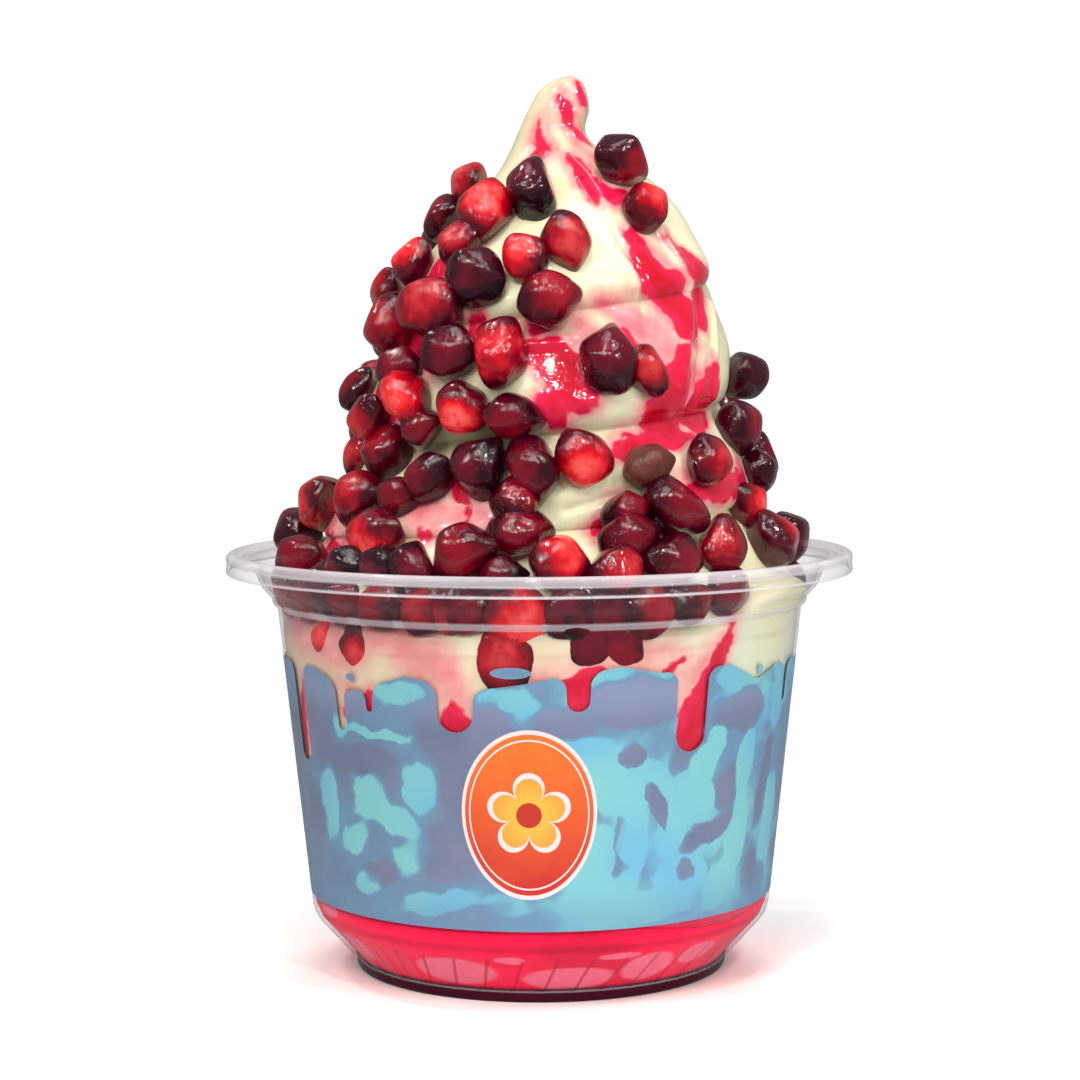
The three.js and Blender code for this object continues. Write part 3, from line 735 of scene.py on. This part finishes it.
def coil_bulge(azimuth, height):
    within, swelling = coil_place(azimuth, height)
    return swelling * (1 - np.abs(2 * within ** COIL_SAG - 1) ** COIL_FLATNESS)


def slump(azimuth, height):
    off = (np.degrees(azimuth) - SLUMP_AZIMUTH) / SLUMP_SPREAD
    return SLUMP_REACH * np.exp(-off * off) * smooth_step(SLUMP_TOP - height, 0, SLUMP_EDGE)


def mound_point(azimuth, height, relief=0):
    azimuth = -(np.mod(math.pi - azimuth, TURN) - math.pi)
    base = smooth_at(MOUND, height, 1)
    uneven = sum(depth * np.sin(waves * azimuth + twist * height + start)
                 for depth, waves, twist, start in UNEVENNESS)
    bulge = coil_bulge(azimuth, height)
    emerging = smooth_step(height, SHELF_HEIGHT, SHELF_HEIGHT + SHELF_DEPTH)
    swell = COIL_BULGE * bulge + uneven * np.minimum(1, base / UNEVEN_FROM_RADIUS)
    radius = base + emerging * swell + slump(azimuth, height) + relief
    point = polar(azimuth, radius, height - COIL_DROOP * bulge * emerging)
    point[..., 0] += smooth_at(MOUND, height, 2)
    return point


def mound_normal(azimuth, height):
    around = mound_point(azimuth + 0.02, height) - mound_point(azimuth - 0.02, height)
    up = mound_point(azimuth, height + 0.8) - mound_point(azimuth, height - 0.8)
    normal = np.cross(around, up)
    return normal / np.linalg.norm(normal)


def chain_points(chain, surface, step=0.6):
    """Points with half widths along a chain of places on a surface."""
    chain = np.array(chain, float)
    made = []
    for before, after in zip(chain, chain[1:]):
        across, up = np.abs(after - before)[:2]
        count = max(2, int(across * 0.6 / step + up / step))
        for t in np.linspace(0, 1, count):
            made.append(before + (after - before) * t)
    made = np.array(made)
    places = surface(np.radians(made[:, 0]), made[:, 1])
    widths = made[:, 2] if made.shape[1] > 2 else np.zeros(len(made))
    return places, widths


def depth_in(points, chains, surface, far=-9.0):
    """How far points lie inside the nearest of some chains, in millimetres, negative outside."""
    depth = np.full(len(points), far)
    for chain in chains:
        places, widths = chain_points(chain, surface)
        low, high = places.min(0) - 12, places.max(0) + 12
        near = np.where(((points > low) & (points < high)).all(1))[0]
        if len(near):
            gap = np.linalg.norm(points[near, None] - places[None], axis=2)
            depth[near] = np.maximum(depth[near], (widths[None] - gap).max(1))
    return depth


def contact_height(azimuth):
    """Up to here the ice cream stays against the wall, higher where it has slumped."""
    height = 65.2 + 1.2 * np.sin(3 * azimuth + 1) + 0.9 * np.sin(7 * azimuth)
    return height + 9 * np.exp(-(((np.degrees(azimuth) - SLUMP_AZIMUTH) / 17) ** 2))


def cream_relief(azimuth, height):
    """How far folds and runs of syrup stand out from the mound."""
    plain = mound_point(azimuth, height)
    relief = np.zeros(len(plain))
    for depth, half_width, chain in FOLDS:
        places, _ = chain_points(chain, mound_point)
        gap = np.linalg.norm(plain[:, None] - places[None], axis=2).min(1)
        relief += depth * np.exp(-((gap / half_width) ** 2))
    relief += STREAK_RELIEF * smooth_step(depth_in(plain, STREAKS, mound_point), -1, 1)
    within, swelling = coil_place(azimuth, height)
    ripple = np.cos(TURN * 2 * within + 3 * np.sin(2 * azimuth) + np.sin(5 * azimuth))
    relief += RIPPLE_RELIEF * swelling * ripple
    return relief * (smooth_step(height, 68, 76) * smooth_step(height, 165.5, 161))


def cream_mesh():
    azimuth = -math.pi + np.arange(CREAM_COLUMNS) / CREAM_COLUMNS * TURN
    bottom = []
    for share in (0.3, 0.6, 0.85, 1):
        radius = share * wall_reach(SYRUP_HEIGHT)
        bottom.append(polar(azimuth, radius, syrup_top(azimuth, radius) + 0.05))
    low = wall_point(azimuth, np.linspace(SYRUP_HEIGHT + 2, 60, 30)[:, None])
    under_shelf = np.arange(60.5, SHELF_HEIGHT, 0.5)
    heights = np.concatenate([under_shelf, np.arange(SHELF_HEIGHT, TIP_HEIGHT - 0.1, CREAM_STEP)])
    mound_azimuth, mound_height = np.meshgrid(azimuth, heights)
    flat = (mound_azimuth.ravel(), mound_height.ravel())
    mound = mound_point(*flat, cream_relief(*flat)).reshape(*mound_height.shape, 3)
    contact = contact_height(azimuth)
    leaving = smooth_step(heights[:, None], contact - 2, contact + 3.5)[..., None]
    mound = wall_point(azimuth, heights[:, None]) * (1 - leaving) + mound * leaving
    share = wall_reach(mound[..., 2]) / np.hypot(mound[..., 0], mound[..., 1])
    inward = np.where(mound[..., 2] < RIM_HEIGHT - 2, np.minimum(1, share), 1)
    mound[..., :2] *= inward[..., None]
    rings = np.concatenate([np.array(bottom), low, mound])
    points, faces = skin_over((0, 0, SYRUP_HEIGHT), rings, mound_point(0.0, TIP_HEIGHT))
    mesh = new_mesh("ice_cream", points, faces)
    above = points[:, 2] > 70
    marks = (("syrup_depth", STREAKS, WALL_STREAKS), ("wash_depth", WASHES, WALL_WASHES))
    for name, chains, wall_chains in marks:
        depth = depth_in(points, chains, mound_point)
        on_wall = depth_in(points, wall_chains, wall_point)
        give(mesh, name, np.where(above, np.maximum(depth, on_wall), on_wall))
    lower = 1 + (len(bottom) + len(low)) * CREAM_COLUMNS
    # how deep in a crease between turns of the coil each point lies, for the painted shade there;
    # the lower part against the wall gets none
    crease_shade = np.ones(len(points))
    crease_shade[:lower] = 0.5
    crease_shade[lower:-1] = 1 - coil_bulge(*flat)
    give(mesh, "crease_shade", crease_shade)
    return mesh


# ---- Pomegranate seeds --------------------------------------------------------------------

def seed_shapes(count, draw):
    """Drops with soft facets, two units long and wide: the points of each, how near each point is
    to an edge between facets, and the faces they share."""
    ball = bmesh.new()
    bmesh.ops.create_icosphere(ball, subdivisions=SEED_SUBDIVISIONS, radius=1)
    directions = np.array([v.co[:] for v in ball.verts])
    faces = np.array([[v.index for v in f.verts] for f in ball.faces])
    ball.free()
    shapes = []
    for _ in range(count):
        planes = []
        sides = int(draw(12, 17))
        for k in range(sides):
            z = 1 - 2 * (k + 0.5) / sides + draw(-0.12, 0.12)
            angle = k * 2.39996 + draw(-0.35, 0.35)
            level = math.sqrt(max(0, 1 - z * z))
            planes.append((level * math.cos(angle), level * math.sin(angle), z, draw(0.84, 1.06)))
        planes = np.array(planes)
        facing = np.maximum(directions @ planes[:, :3].T, 0) / planes[:, 3]
        radius = ((facing ** FACET_SHARPNESS).sum(1) + 0.05) ** (-1 / FACET_SHARPNESS)
        first, second = np.sort(facing, axis=1)[:, [-1, -2]].T
        points = directions * radius[:, None]
        points /= np.abs(points).max(0)
        points[:, :2] *= (1 - 0.7 * SEED_TAPER * points[:, 2] - 0.05 * points[:, 2] ** 2)[:, None]
        points[:, 0] += 0.08 * points[:, 2] ** 2 * draw(-1, 1)
        shapes.append((points, 1 - np.clip((first - second) / 0.16, 0, 1)))
    return shapes, faces


def seed_centre(place):
    azimuth, height, length = place[:3]
    if height <= SEEDS_BESIDE_WALL[-1, 0]:
        return polar(azimuth, smooth_at(SEEDS_BESIDE_WALL, height, 1), height)
    return mound_point(azimuth, height) + SEED_LIFT * length * mound_normal(azimuth, height)


def seed_places():
    """Azimuth, height, length, slope, tip, width and tone of each seed on the mound."""
    draw = make_random(RANDOM_START)
    tones = make_random(TONE_START)
    places = []
    for azimuth, height, length, slope, width, tone in FRONT_SEEDS:
        tip = draw(-SEED_TIP, SEED_TIP)
        turned, tilted = math.radians(azimuth), math.radians(slope)
        places.append((turned, height, length, tilted, tip, width, tone))
    centres = [seed_centre(place) for place in places]
    for row_height, first, last, spacing in SEED_ROWS:
        radius = smooth_at(MOUND, row_height, 1) + COIL_BULGE
        steps = int(math.radians(last - first) * radius / spacing)
        for k in range(steps + 1):
            share = (k + draw(-SEED_JITTER, SEED_JITTER)) / steps
            place = (
                math.radians(first + (last - first) * share),
                row_height + draw(-SEED_RISE, SEED_RISE),
                draw(*SEED_LENGTH),
                draw(-SEED_SLOPE, SEED_SLOPE),
                draw(-SEED_TIP, SEED_TIP),
                SEED_WIDTH,
                tones(0, 3.2),
            )
            if row_height < SHADED_BELOW and math.sin(place[0]) < -0.4:
                place = (*place[:-1], place[-1] * SHADED_TONE)
            centre = seed_centre(place)
            if all(np.linalg.norm(centre - other) > SEED_SPACE for other in centres):
                places.append(place)
                centres.append(centre)
    return places


def seed_mesh():
    draw = make_random(SHAPE_START)
    shapes, faces = seed_shapes(SEED_SHAPES, draw)
    points, triangles, inner_places, edges, tones, hearts = [], [], [], [], [], []
    placed = [(place, 0) for place in seed_places()]
    for azimuth, height, length, slope, tone, inset in WALL_SEEDS:
        place = (math.radians(azimuth), height, length, math.radians(slope), 0, SEED_WIDTH, tone)
        placed.append((place, inset))
    for k, (place, pressed) in enumerate(placed):
        azimuth, height, length, slope, tip, width, tone = place
        shape, edge = shapes[int(draw(0, len(shapes)))]
        shape = shape * (width, SEED_THICKNESS, SEED_LENGTHENING) * SEED_RADIUS
        out = polar(azimuth, 1.0, 0.0) if pressed else mound_normal(azimuth, height)
        out = out * (1, 1, SEED_LEANING)
        out /= np.linalg.norm(out)
        level = np.array([-math.sin(azimuth), math.cos(azimuth), 0])
        up = np.cross(out, level)
        up /= np.linalg.norm(up)
        along = level * math.cos(slope) + up * math.sin(slope) + out * math.sin(tip)
        along /= np.linalg.norm(along)
        across = np.cross(out, along)
        across /= np.linalg.norm(across)
        outward = np.cross(along, across)
        centre = wall_point(azimuth, height) - pressed * out if pressed else seed_centre(place)
        made = centre + (shape * length) @ np.array([across, outward, along])
        if pressed:
            radius = np.hypot(made[:, 0], made[:, 1])
            reach = wall_reach(made[:, 2]) + SEED_PRESSED
            made[:, :2] *= np.minimum(1, reach / radius)[:, None]
        points.append(made)
        triangles.append(faces + k * len(shape))
        inner_places.append(shape)
        edges.append(edge)
        tones.append(np.full(len(shape), tone))
        heart = (draw(-0.14, 0.14), draw(0.12, 0.28), draw(-0.12, 0.16))
        hearts.append(np.full((len(shape), 3), heart))
    mesh = new_mesh("seeds", np.concatenate(points), [np.concatenate(triangles)])
    given = {"place": inner_places, "heart": hearts, "tone": tones, "edge": edges}
    for name, values in given.items():
        give(mesh, f"seed_{name}", np.concatenate(values))
    return mesh


# ---- The printed band ---------------------------------------------------------------------

def band_notches():
    """The front's notches, then more of the same kind round the back, and the crests between."""
    draw = make_random(NOTCH_START)
    notches, crests = list(NOTCHES), list(CRESTS)
    azimuth = -8.0
    while azimuth < 178:
        notches.append((azimuth + 8, draw(44, 54), draw(0.8, 3.2)))
        crests.append((azimuth + 17, draw(57, 61)))
        azimuth += draw(17, 27)
    return notches, sorted(crests)


def band_top(degrees):
    """The height of the band's upper edge."""
    notches, crests = band_notches()
    at = np.array([c[0] for c in crests])
    level = np.array([c[1] for c in crests])
    top = np.interp(degrees, np.concatenate([at - 360, at, at + 360]), np.tile(level, 3))
    for azimuth, lowest, half_width in notches:
        radius = radius_on(OUTSIDE, 56)
        off = np.abs((degrees - azimuth + 180) % 360 - 180) * math.pi / 180 * radius
        cup_shape = lowest + half_width - np.sqrt(np.maximum(half_width ** 2 - off ** 2, 0))
        beyond = np.clip((off - half_width) / CREST_ROUND, 0, 1)
        shoulder = top - CREST_ROUND * (1 - np.sqrt(1 - (1 - beyond) ** 2))
        notched = np.minimum(cup_shape, top - CREST_ROUND)
        top = np.where(off < half_width, notched, np.minimum(top, shoulder))
    return top


def band_mesh():
    degrees = -180 + np.arange(BAND_COLUMNS) * BAND_SPACING
    top = band_top(degrees)
    share = np.linspace(0, 1, BAND_RINGS)
    height = BAND_BOTTOM + (top[None] - BAND_BOTTOM) * share[:, None]
    rings = polar(np.radians(degrees)[None], radius_on(OUTSIDE, height) + BAND_PROUD, height)
    points, faces = [rings.reshape(-1, 3)], [grid_faces(*rings.shape[:2])]
    around = np.arange(DOT_SIDES) / DOT_SIDES * TURN
    for azimuth, middle, half_width, half_height in DOTS:
        dot_height = middle + half_height * np.sin(around)
        radius = radius_on(OUTSIDE, dot_height) + BAND_PROUD
        off = half_width * np.cos(around) / radius
        faces.append(sum(map(len, points)) + np.arange(DOT_SIDES)[None])
        points.append(polar(math.radians(azimuth) + off, radius, dot_height))
    return new_mesh("printed_band", np.concatenate(points), faces)


# ---- Materials ----------------------------------------------------------------------------

def plastic_shade():
    """Clear moulded plastic: milky where the rim folds back on itself, with painted highlights
    along the neck ring and the skirt's lower edge, and painted shade that makes the foot dark.
    """
    shade = Shade("clear_plastic")
    x, y, height = (shade.along(axis) for axis in range(3))
    from_axis = shade.math("SQRT", x * x + y * y)
    in_rim = from_axis.step(53.9, 54.7)
    roll = height.step(75.9, 76.5)
    # painted highlights: milky lines along the neck ring and along the lower edge of the skirt
    ring = height.step(67.7, 68.1) * height.step(69.4, 68.9) + in_rim * height.step(74.9, 74.6)
    # painted shade: the foot is made nearly opaque and dark, with less gloss, for the shade under
    # the cup
    foot = height.step(2.4, 1.7)
    turn = shade.math("ARCTAN2", y, x)
    drawn_out = shade.node("CombineXYZ", {
        0: turn * 0.004, 1: from_axis * 0.0011, 2: height * 0.0011,
    })
    streaks = shade.noise(1.1, where=drawn_out)
    facing = shade.node("LayerWeight", {"Blend": 0.3}, output=1)
    haze = 0.002 + height.step(60, 69) * 0.002 + in_rim * 0.005
    haze = haze + in_rim * roll * (0.2 + streaks * 0.46)
    opacity = (haze + ring * 0.34 + foot * 0.97 + facing * facing * 0.11).kept()
    # milky white, turning to the dark maroon of the painted shade at the foot
    milk = shade.mix(foot, tint(228, 223, 230), tint(60, 1, 23))
    ripple = shade.bump(shade.noise(7, 2), 0.1, 0.5)
    body = shade.principled({
        "Base Color": milk, "Roughness": 0.3, "Specular IOR Level": 0.2, "Normal": ripple,
    })
    clear = shade.node("BsdfTransparent", {"Color": (0.98, 0.98, 0.985, 1)})
    veiled = shade.node("MixShader", {0: opacity, 1: clear, 2: body})
    gloss = shade.node("BsdfGlossy", {"Color": (1, 1, 1, 1), "Roughness": 0.07, "Normal": ripple})
    slant = shade.node("LayerWeight", {"Blend": 0.5}, output=1)
    mirrored = (shade.math("POWER", slant, 4) * 0.9 + 0.03) * (0.5 - foot * 0.46)
    return shade.finish(shade.node("MixShader", {0: mirrored, 1: veiled, 2: gloss}))


def syrup_colours(shade, depth):
    """Crimson that turns to magenta where it thins."""
    thick = depth.step(0, 3) * 0.6 + shade.noise(5, 3).step(0.35, 0.65) * 0.4
    return shade.mix(thick, tint(224, 30, 80), tint(192, 2, 30))


def cream_shade():
    shade = Shade("soft_ice_cream")
    depth = shade.attribute("syrup_depth")
    crease_shade = shade.attribute("crease_shade")
    spread = shade.attribute("wash_depth")
    across, height = shade.along(0), shade.along(2)
    wobble = shade.sway(7, 4.4) + shade.sway(2.6, 2)
    edge = depth + wobble
    wet = edge.step(-0.35, 0.35).most(height.step(17.6, 16.6))
    halo = edge.step(-3.8, 0.2)
    blush = (spread + (shade.noise(8, 3, 0.55) - 0.5) * 8).step(-2, 3)
    wash = (halo * halo * 0.8).most(blush * 0.85)
    patchy = shade.noise(11, 3)
    cream = shade.mix(patchy.step(0.3, 0.7), tint(229, 223, 192), tint(223, 222, 184))
    # painted shade in the creases between turns of the coil
    shadowed = shade.mix(crease_shade.step(0.5, 1.0) * 0.6, cream, tint(206, 194, 156))
    behind = height.step(70, 65) * shade.noise(9, 3).step(0.25, 0.6)
    rosy = shade.mix(behind * across.step(22, -16) * 0.75, shadowed, tint(214, 180, 158))
    pale = shade.mix(behind * across.step(16, 36) * 0.7, rosy, tint(212, 221, 202))
    pink = shade.mix(shade.noise(5, 3).step(0.3, 0.7), tint(222, 52, 96), tint(236, 138, 152))
    washed = shade.mix((wash * (1 - behind * 0.4)).kept(), pale, pink)
    colour = shade.mix(wet, washed, syrup_colours(shade, edge))
    melt = shade.noise(2.4, 3)
    soft = shade.bump(melt, 0.3, 0.5)
    fine = shade.bump(shade.noise(0.7, 2), 0.03, 0.6, soft)
    return shade.finish(shade.principled({
        "Base Color": colour,
        "Roughness": (0.34 - wet * 0.26 + (melt - 0.5) * 0.16),
        "Subsurface Weight": 0.18, "Subsurface Radius": (1.0, 0.75, 0.5), "Subsurface Scale": 0.002,
        "Coat Weight": (wet * 0.4 + 0.3).kept(), "Coat Roughness": 0.07,
        "Normal": fine,
    }))


# Paler patches in the syrup: azimuth, height, half width and half height in millimetres.
PALE_PATCHES = [
    (-114, 5.8, 8.6, 2.9), (-82, 4.7, 9.4, 2.5), (-60, 6.2, 5.6, 3), (-44, 7.4, 4.4, 2.2),
    (-150, 7, 4, 2.6), (-156, 13.3, 4, 1.2), (-98, 8.8, 3, 0.8),
    (-70, 9.2, 4, 0.7), (-2, 6, 7, 2.6), (26, 5, 8, 2.8), (58, 6.4, 9, 2.4), (84, 4.8, 6, 2.4),
    (112, 6, 9, 2.8), (146, 5.4, 8, 2.6), (172, 6.6, 5, 2), (40, 13, 8, 1), (120, 13.2, 9, 1.1),
]
PER_DEGREE = 0.7  # millimetres round the bevel


def layer_shade():
    """The syrup layer seen through the ribbed bevel: crimson, with paler patches between ribs,
    painted shade at the foot and a faint painted glow.
    """
    shade = Shade("syrup_layer")
    x, y, height = (shade.along(axis) for axis in range(3))
    degrees = shade.math("ARCTAN2", y, x) * (180 / math.pi)
    off = shade.math("PINGPONG", degrees + 180 - height * 0.5, RIB_SPACING / 2)
    flat = shade.node("CombineXYZ", {0: degrees * PER_DEGREE + shade.sway(6, 3), 1: height})
    pale = 0
    for azimuth, centre, half_width, half_height in PALE_PATCHES:
        for turned in (0, 360):
            middle = ((azimuth + turned) * PER_DEGREE, centre)
            away = shade.ellipse(flat, middle, (half_width, half_height))
            pale = away.step(1.08, 0.86).most(pale)
    mottled = shade.noise(2.2, 3)
    streaked = shade.noise(14, 3)
    crimson = shade.mix(mottled, tint(218, 0, 56), tint(228, 0, 66))
    deeper = shade.mix(streaked.step(0.45, 0.7) * 0.7, crimson, tint(186, 2, 42))
    light = shade.mix(mottled, tint(212, 78, 108), tint(216, 112, 134))
    colour = shade.mix(pale * 0.9, deeper, light)
    line = off.step(0.62, 0.3) * height.step(9.4, 8.2)
    lined = shade.mix(line * 0.7, colour, tint(168, 2, 40))
    corner = height.step(10.0, 10.8) * height.step(12.2, 11.2) * (0.1 + streaked * 0.6)
    edged = shade.mix(corner, lined, tint(150, 2, 40))
    # painted shade: the syrup turns dark maroon at the foot of the cup
    foot = shade.mix(height.step(3.0, 2.1), edged, tint(60, 2, 26))
    return shade.finish(shade.principled({
        "Base Color": foot, "Roughness": 0.4, "Specular IOR Level": 0.2,
        # painted glow: the syrup gives out a little light of its own colour
        "Emission Color": foot, "Emission Strength": 0.2,
        "Normal": shade.bump(mottled, 0.1, 0.4),
    }))


def seed_shade():
    shade = Shade("pomegranate_seed")
    place = shade.attribute("seed_place", 1)
    heart = shade.attribute("seed_heart", 1)
    tone = shade.attribute("seed_tone")
    away = shade.node("VectorMath", {0: place, 1: heart}, output=1, operation="DISTANCE")
    fibres = shade.noise(2.2, 3, 0.6)
    edge = shade.attribute("seed_edge")
    swirl = shade.noise(3.4, 2) - 0.5
    bright = tone.least(3) / 3
    # inner: where the flesh shows round the heart; away from it the seed gets painted shade
    inner = (away + swirl * 0.42 - bright * 0.06).step(0.51, 0.19)
    # glow: painted light passing through the flesh round the heart of brighter seeds
    glow = (away + swirl * 0.44).step(0.38, 0.06) * (bright - 0.5).kept() * 2
    # painted shade at the edges of each seed, nearly black on dark seeds
    outer_shade = shade.mix(bright, tint(16, 1, 10), tint(62, 0, 15))
    flesh = shade.mix(bright * bright, tint(84, 2, 24), tint(206, 2, 24))
    red = shade.mix((inner * (0.55 + fibres * 0.8)).kept(), outer_shade, flesh)
    # painted highlight: paler lines along the edges between facets, stronger on brighter seeds
    facet_highlighted = shade.mix(edge * edge * (0.05 + bright * 0.1), red, tint(170, 40, 52))
    lit = shade.mix((glow * fibres.step(0.2, 0.6)).kept() * 0.75, facet_highlighted, tint(240, 104, 96))
    dry = tone.step(3.5, 3.9)
    colour = shade.mix(dry, lit, shade.mix(fibres, tint(54, 16, 14), tint(104, 52, 42)))
    dents = shade.noise(1.5, 3, 0.55)
    crinkle = shade.bump(dents, 0.5, 0.55)
    pores = shade.bump(shade.noise(0.6, 2), 0.1, 0.6, crinkle)
    return shade.finish(shade.principled({
        "Base Color": colour, "Roughness": 0.07 + dry * 0.3 + fibres * 0.06,
        "Subsurface Weight": 0.06, "Subsurface Radius": (1.0, 0.1, 0.08),
        "Subsurface Scale": 0.0014,
        "Specular IOR Level": 0.42, "Coat Weight": 0.34 - dry * 0.26,
        # painted glow: every seed gives out a little light of its own colour
        "Emission Color": colour, "Emission Strength": 0.26,
        "Coat Roughness": 0.03, "Normal": pores,
    }))


# Fields in the band on the front: azimuth, height, half width and half height in millimetres,
# tilt in degrees, and weight, over 0 towards cyan and under 0 towards slate.
FIELDS = [
    (-132, 37, 4.4, 5, 0, 1.2), (-117, 40, 3.4, 4.4, 20, 1.1), (-124, 33.6, 5.4, 2.8, -20, 1),
    (-146, 35, 3, 7, -5, 1.1), (-137, 29, 4, 2.4, 30, 0.8), (-135, 21, 3.4, 2.4, 0, 0.9),
    (-120, 27, 5.4, 3, 30, 0.6), (-139, 50, 2.2, 3.6, 0, 1), (-128, 48.8, 8, 0.9, -3, 1.3),
    (-120, 56.4, 5, 2.4, 0, 0.8), (-114, 19.4, 8, 2.2, 12, 1), (-99, 56, 4.4, 1.8, 10, 1),
    (-94, 53.4, 3.4, 3.4, 40, 1), (-76, 20.6, 7, 3.6, 20, 1.2), (-62, 18.6, 7, 2.6, 0, 1.2),
    (-82, 45, 6, 4, 20, 1), (-76, 41.4, 6.4, 5, 0, 1.1), (-68, 40.8, 6, 3.4, 0, 1),
    (-51, 43.5, 2.4, 7, -30, 1.9), (-38, 42, 2.6, 6, -12, 1.4), (-39, 29, 2.8, 7.4, -10, 1.2),
    (-42, 58.6, 5.4, 2.6, 0, 1.1), (-70, 31, 2.8, 9, 0, 1), (-77, 27, 3, 6, 0, 0.9),
    (-55, 37, 5, 4.4, 0, 0.9), (-56, 23, 5, 4, 0, 1), (-44, 20.6, 4.4, 3.4, 20, 1),
    (-98, 19.4, 5, 2, 0, 0.6), (-60, 31, 3, 4, 0, 0.7), (-25, 54, 3, 7, 0, 0.8),
    (-22, 30, 3, 9, 0, 0.9),
    (-69, 55, 8.6, 4.2, 0, -1.6), (-70, 45, 2.1, 2.1, 0, -1.8), (-64, 36.4, 1.4, 5.4, 24, -1.7),
    (-72, 31.6, 1.4, 4.6, 0, -1.2), (-72, 25, 2, 3, 0, -1), (-55, 24.6, 2.1, 2.1, 0, -1.6),
    (-48, 31, 7.4, 2.1, 20, -1.4), (-44, 38, 3.4, 3.6, 30, -1.1), (-41, 51.6, 7, 3.4, 6, -1.5),
    (-56, 47, 2.6, 6, -24, -0.9), (-105, 50, 9, 6, 0, -0.9), (-86, 51.6, 6, 3, 0, -0.9),
    (-106, 40, 5, 7, 0, -0.7), (-134, 43.4, 7, 2.4, 8, -1), (-137, 54, 5, 3.4, 0, -0.8),
    (-130, 23.4, 5, 2.4, 20, -0.7), (-151, 49, 4, 5, 0, -0.8), (-112, 28, 5, 5, 0, -0.5),
    (-28, 38, 2, 8, -14, -1.2), (-31, 22, 3, 4, 0, -0.8),
]
BAND_RADIUS = 46
# The badge: its place round the wall, its height, half width and half height.
PLAQUE = (-2, 35.6, 11.4, 14.4)


def with_badge(shade, under, around, height):
    """An oval badge with a rim and a flower, over what is under it."""
    centre, middle, half_width, half_height = PLAQUE
    u, v = around - centre, height - middle
    across, up = u / half_width, v / half_height
    oval = shade.math("SQRT", across * across + up * up)
    warm_share = (v / 26 + 0.5 + shade.sway(7, 0.5)).kept()
    warm = shade.mix(warm_share, tint(190, 34, 26), tint(226, 106, 28))
    white = tint(226, 204, 206)
    plaque = shade.mix(oval.step(1.0, 0.99), white, warm)
    keyline = oval.step(0.905, 0.912) * oval.step(0.934, 0.927)
    lined = shade.mix(keyline, plaque, white)
    turn = shade.math("ARCTAN2", u, v)
    petal = shade.math("POWER", shade.math("ABSOLUTE", shade.math("COSINE", turn * 2.5)), 0.55)
    span = shade.math("SQRT", u * u + v * v)
    bloom = span / (petal * 3.9 + 3.7)
    flower = shade.mix(bloom.step(1.0, 0.98), lined, white)
    petals = shade.mix((span / 8).kept(), tint(232, 184, 66), tint(226, 134, 44))
    inner = shade.mix(bloom.step(0.88, 0.84), flower, petals)
    eye = shade.mix(span.step(2.3, 2.2), inner, tint(180, 40, 24))
    return shade.mix(oval.step(1.055, 1.04), under, eye)


def band_shade():
    """Turquoise ink over milky contents in soft fields of cyan and slate, with a round badge."""
    shade = Shade("band_ink")
    x, y, height = (shade.along(axis) for axis in range(3))
    around = shade.math("ARCTAN2", x, -y) * BAND_RADIUS
    warped = (around + shade.sway(6, 5, 3), height + shade.sway(5, 4, 3))
    flat = shade.node("CombineXYZ", dict(enumerate(warped)))
    behind = y.step(-8, 14)
    field = shade.sway(17, 1.8 + behind * 4) + shade.sway(6, 1.2 + behind * 3)
    field = field + around.step(-16, 10) * (0.5 - behind * 0.3) + behind * 0.3 - 0.15
    for azimuth, centre, half_width, half_height, tilt, weight in FIELDS:
        middle = (math.radians(azimuth + 90) * BAND_RADIUS, centre)
        off = shade.ellipse(flat, middle, (half_width, half_height), tilt)
        field = field + off.step(1.3, 0.62) * weight
    cyan = shade.mix(shade.noise(20, 1).step(0.35, 0.65), tint(99, 168, 200), tint(114, 182, 188))
    slate = shade.mix(shade.noise(9, 2), tint(84, 104, 132), tint(120, 124, 152))
    slate = shade.mix(height.step(49, 57) * 0.85, slate, tint(126, 137, 171))
    blue = shade.mix(field.step(-0.6, 0.3), slate, tint(96, 134, 166))
    blend = shade.mix(field.step(0.16, 0.66), blue, cyan)
    low = shade.mix(height.step(24, 15) * 0.5, blend, tint(94, 134, 168))
    specks = shade.noise(0.45, 1).step(0.7, 0.76)
    inked = shade.mix(specks * 0.14, low, tint(60, 84, 116))
    return shade.finish(shade.principled({
        "Base Color": with_badge(shade, inked, around, height), "Roughness": 0.4,
        "Coat Weight": 0.3, "Coat Roughness": 0.08,
        "Normal": shade.bump(shade.noise(0.6, 1), 0.02, 0.4),
    }))


# ---- Assembly -----------------------------------------------------------------------------

camera()
studio()
add_piece("cup_wall", cup_mesh(), plastic_shade(), ["cup"])
add_piece("syrup_layer", syrup_mesh(), layer_shade(), ["syrup"])
add_piece("ice_cream", cream_mesh(), cream_shade(), ["soft_serve"])
add_piece("seeds", seed_mesh(), seed_shade())
add_piece("printed_band", band_mesh(), band_shade())
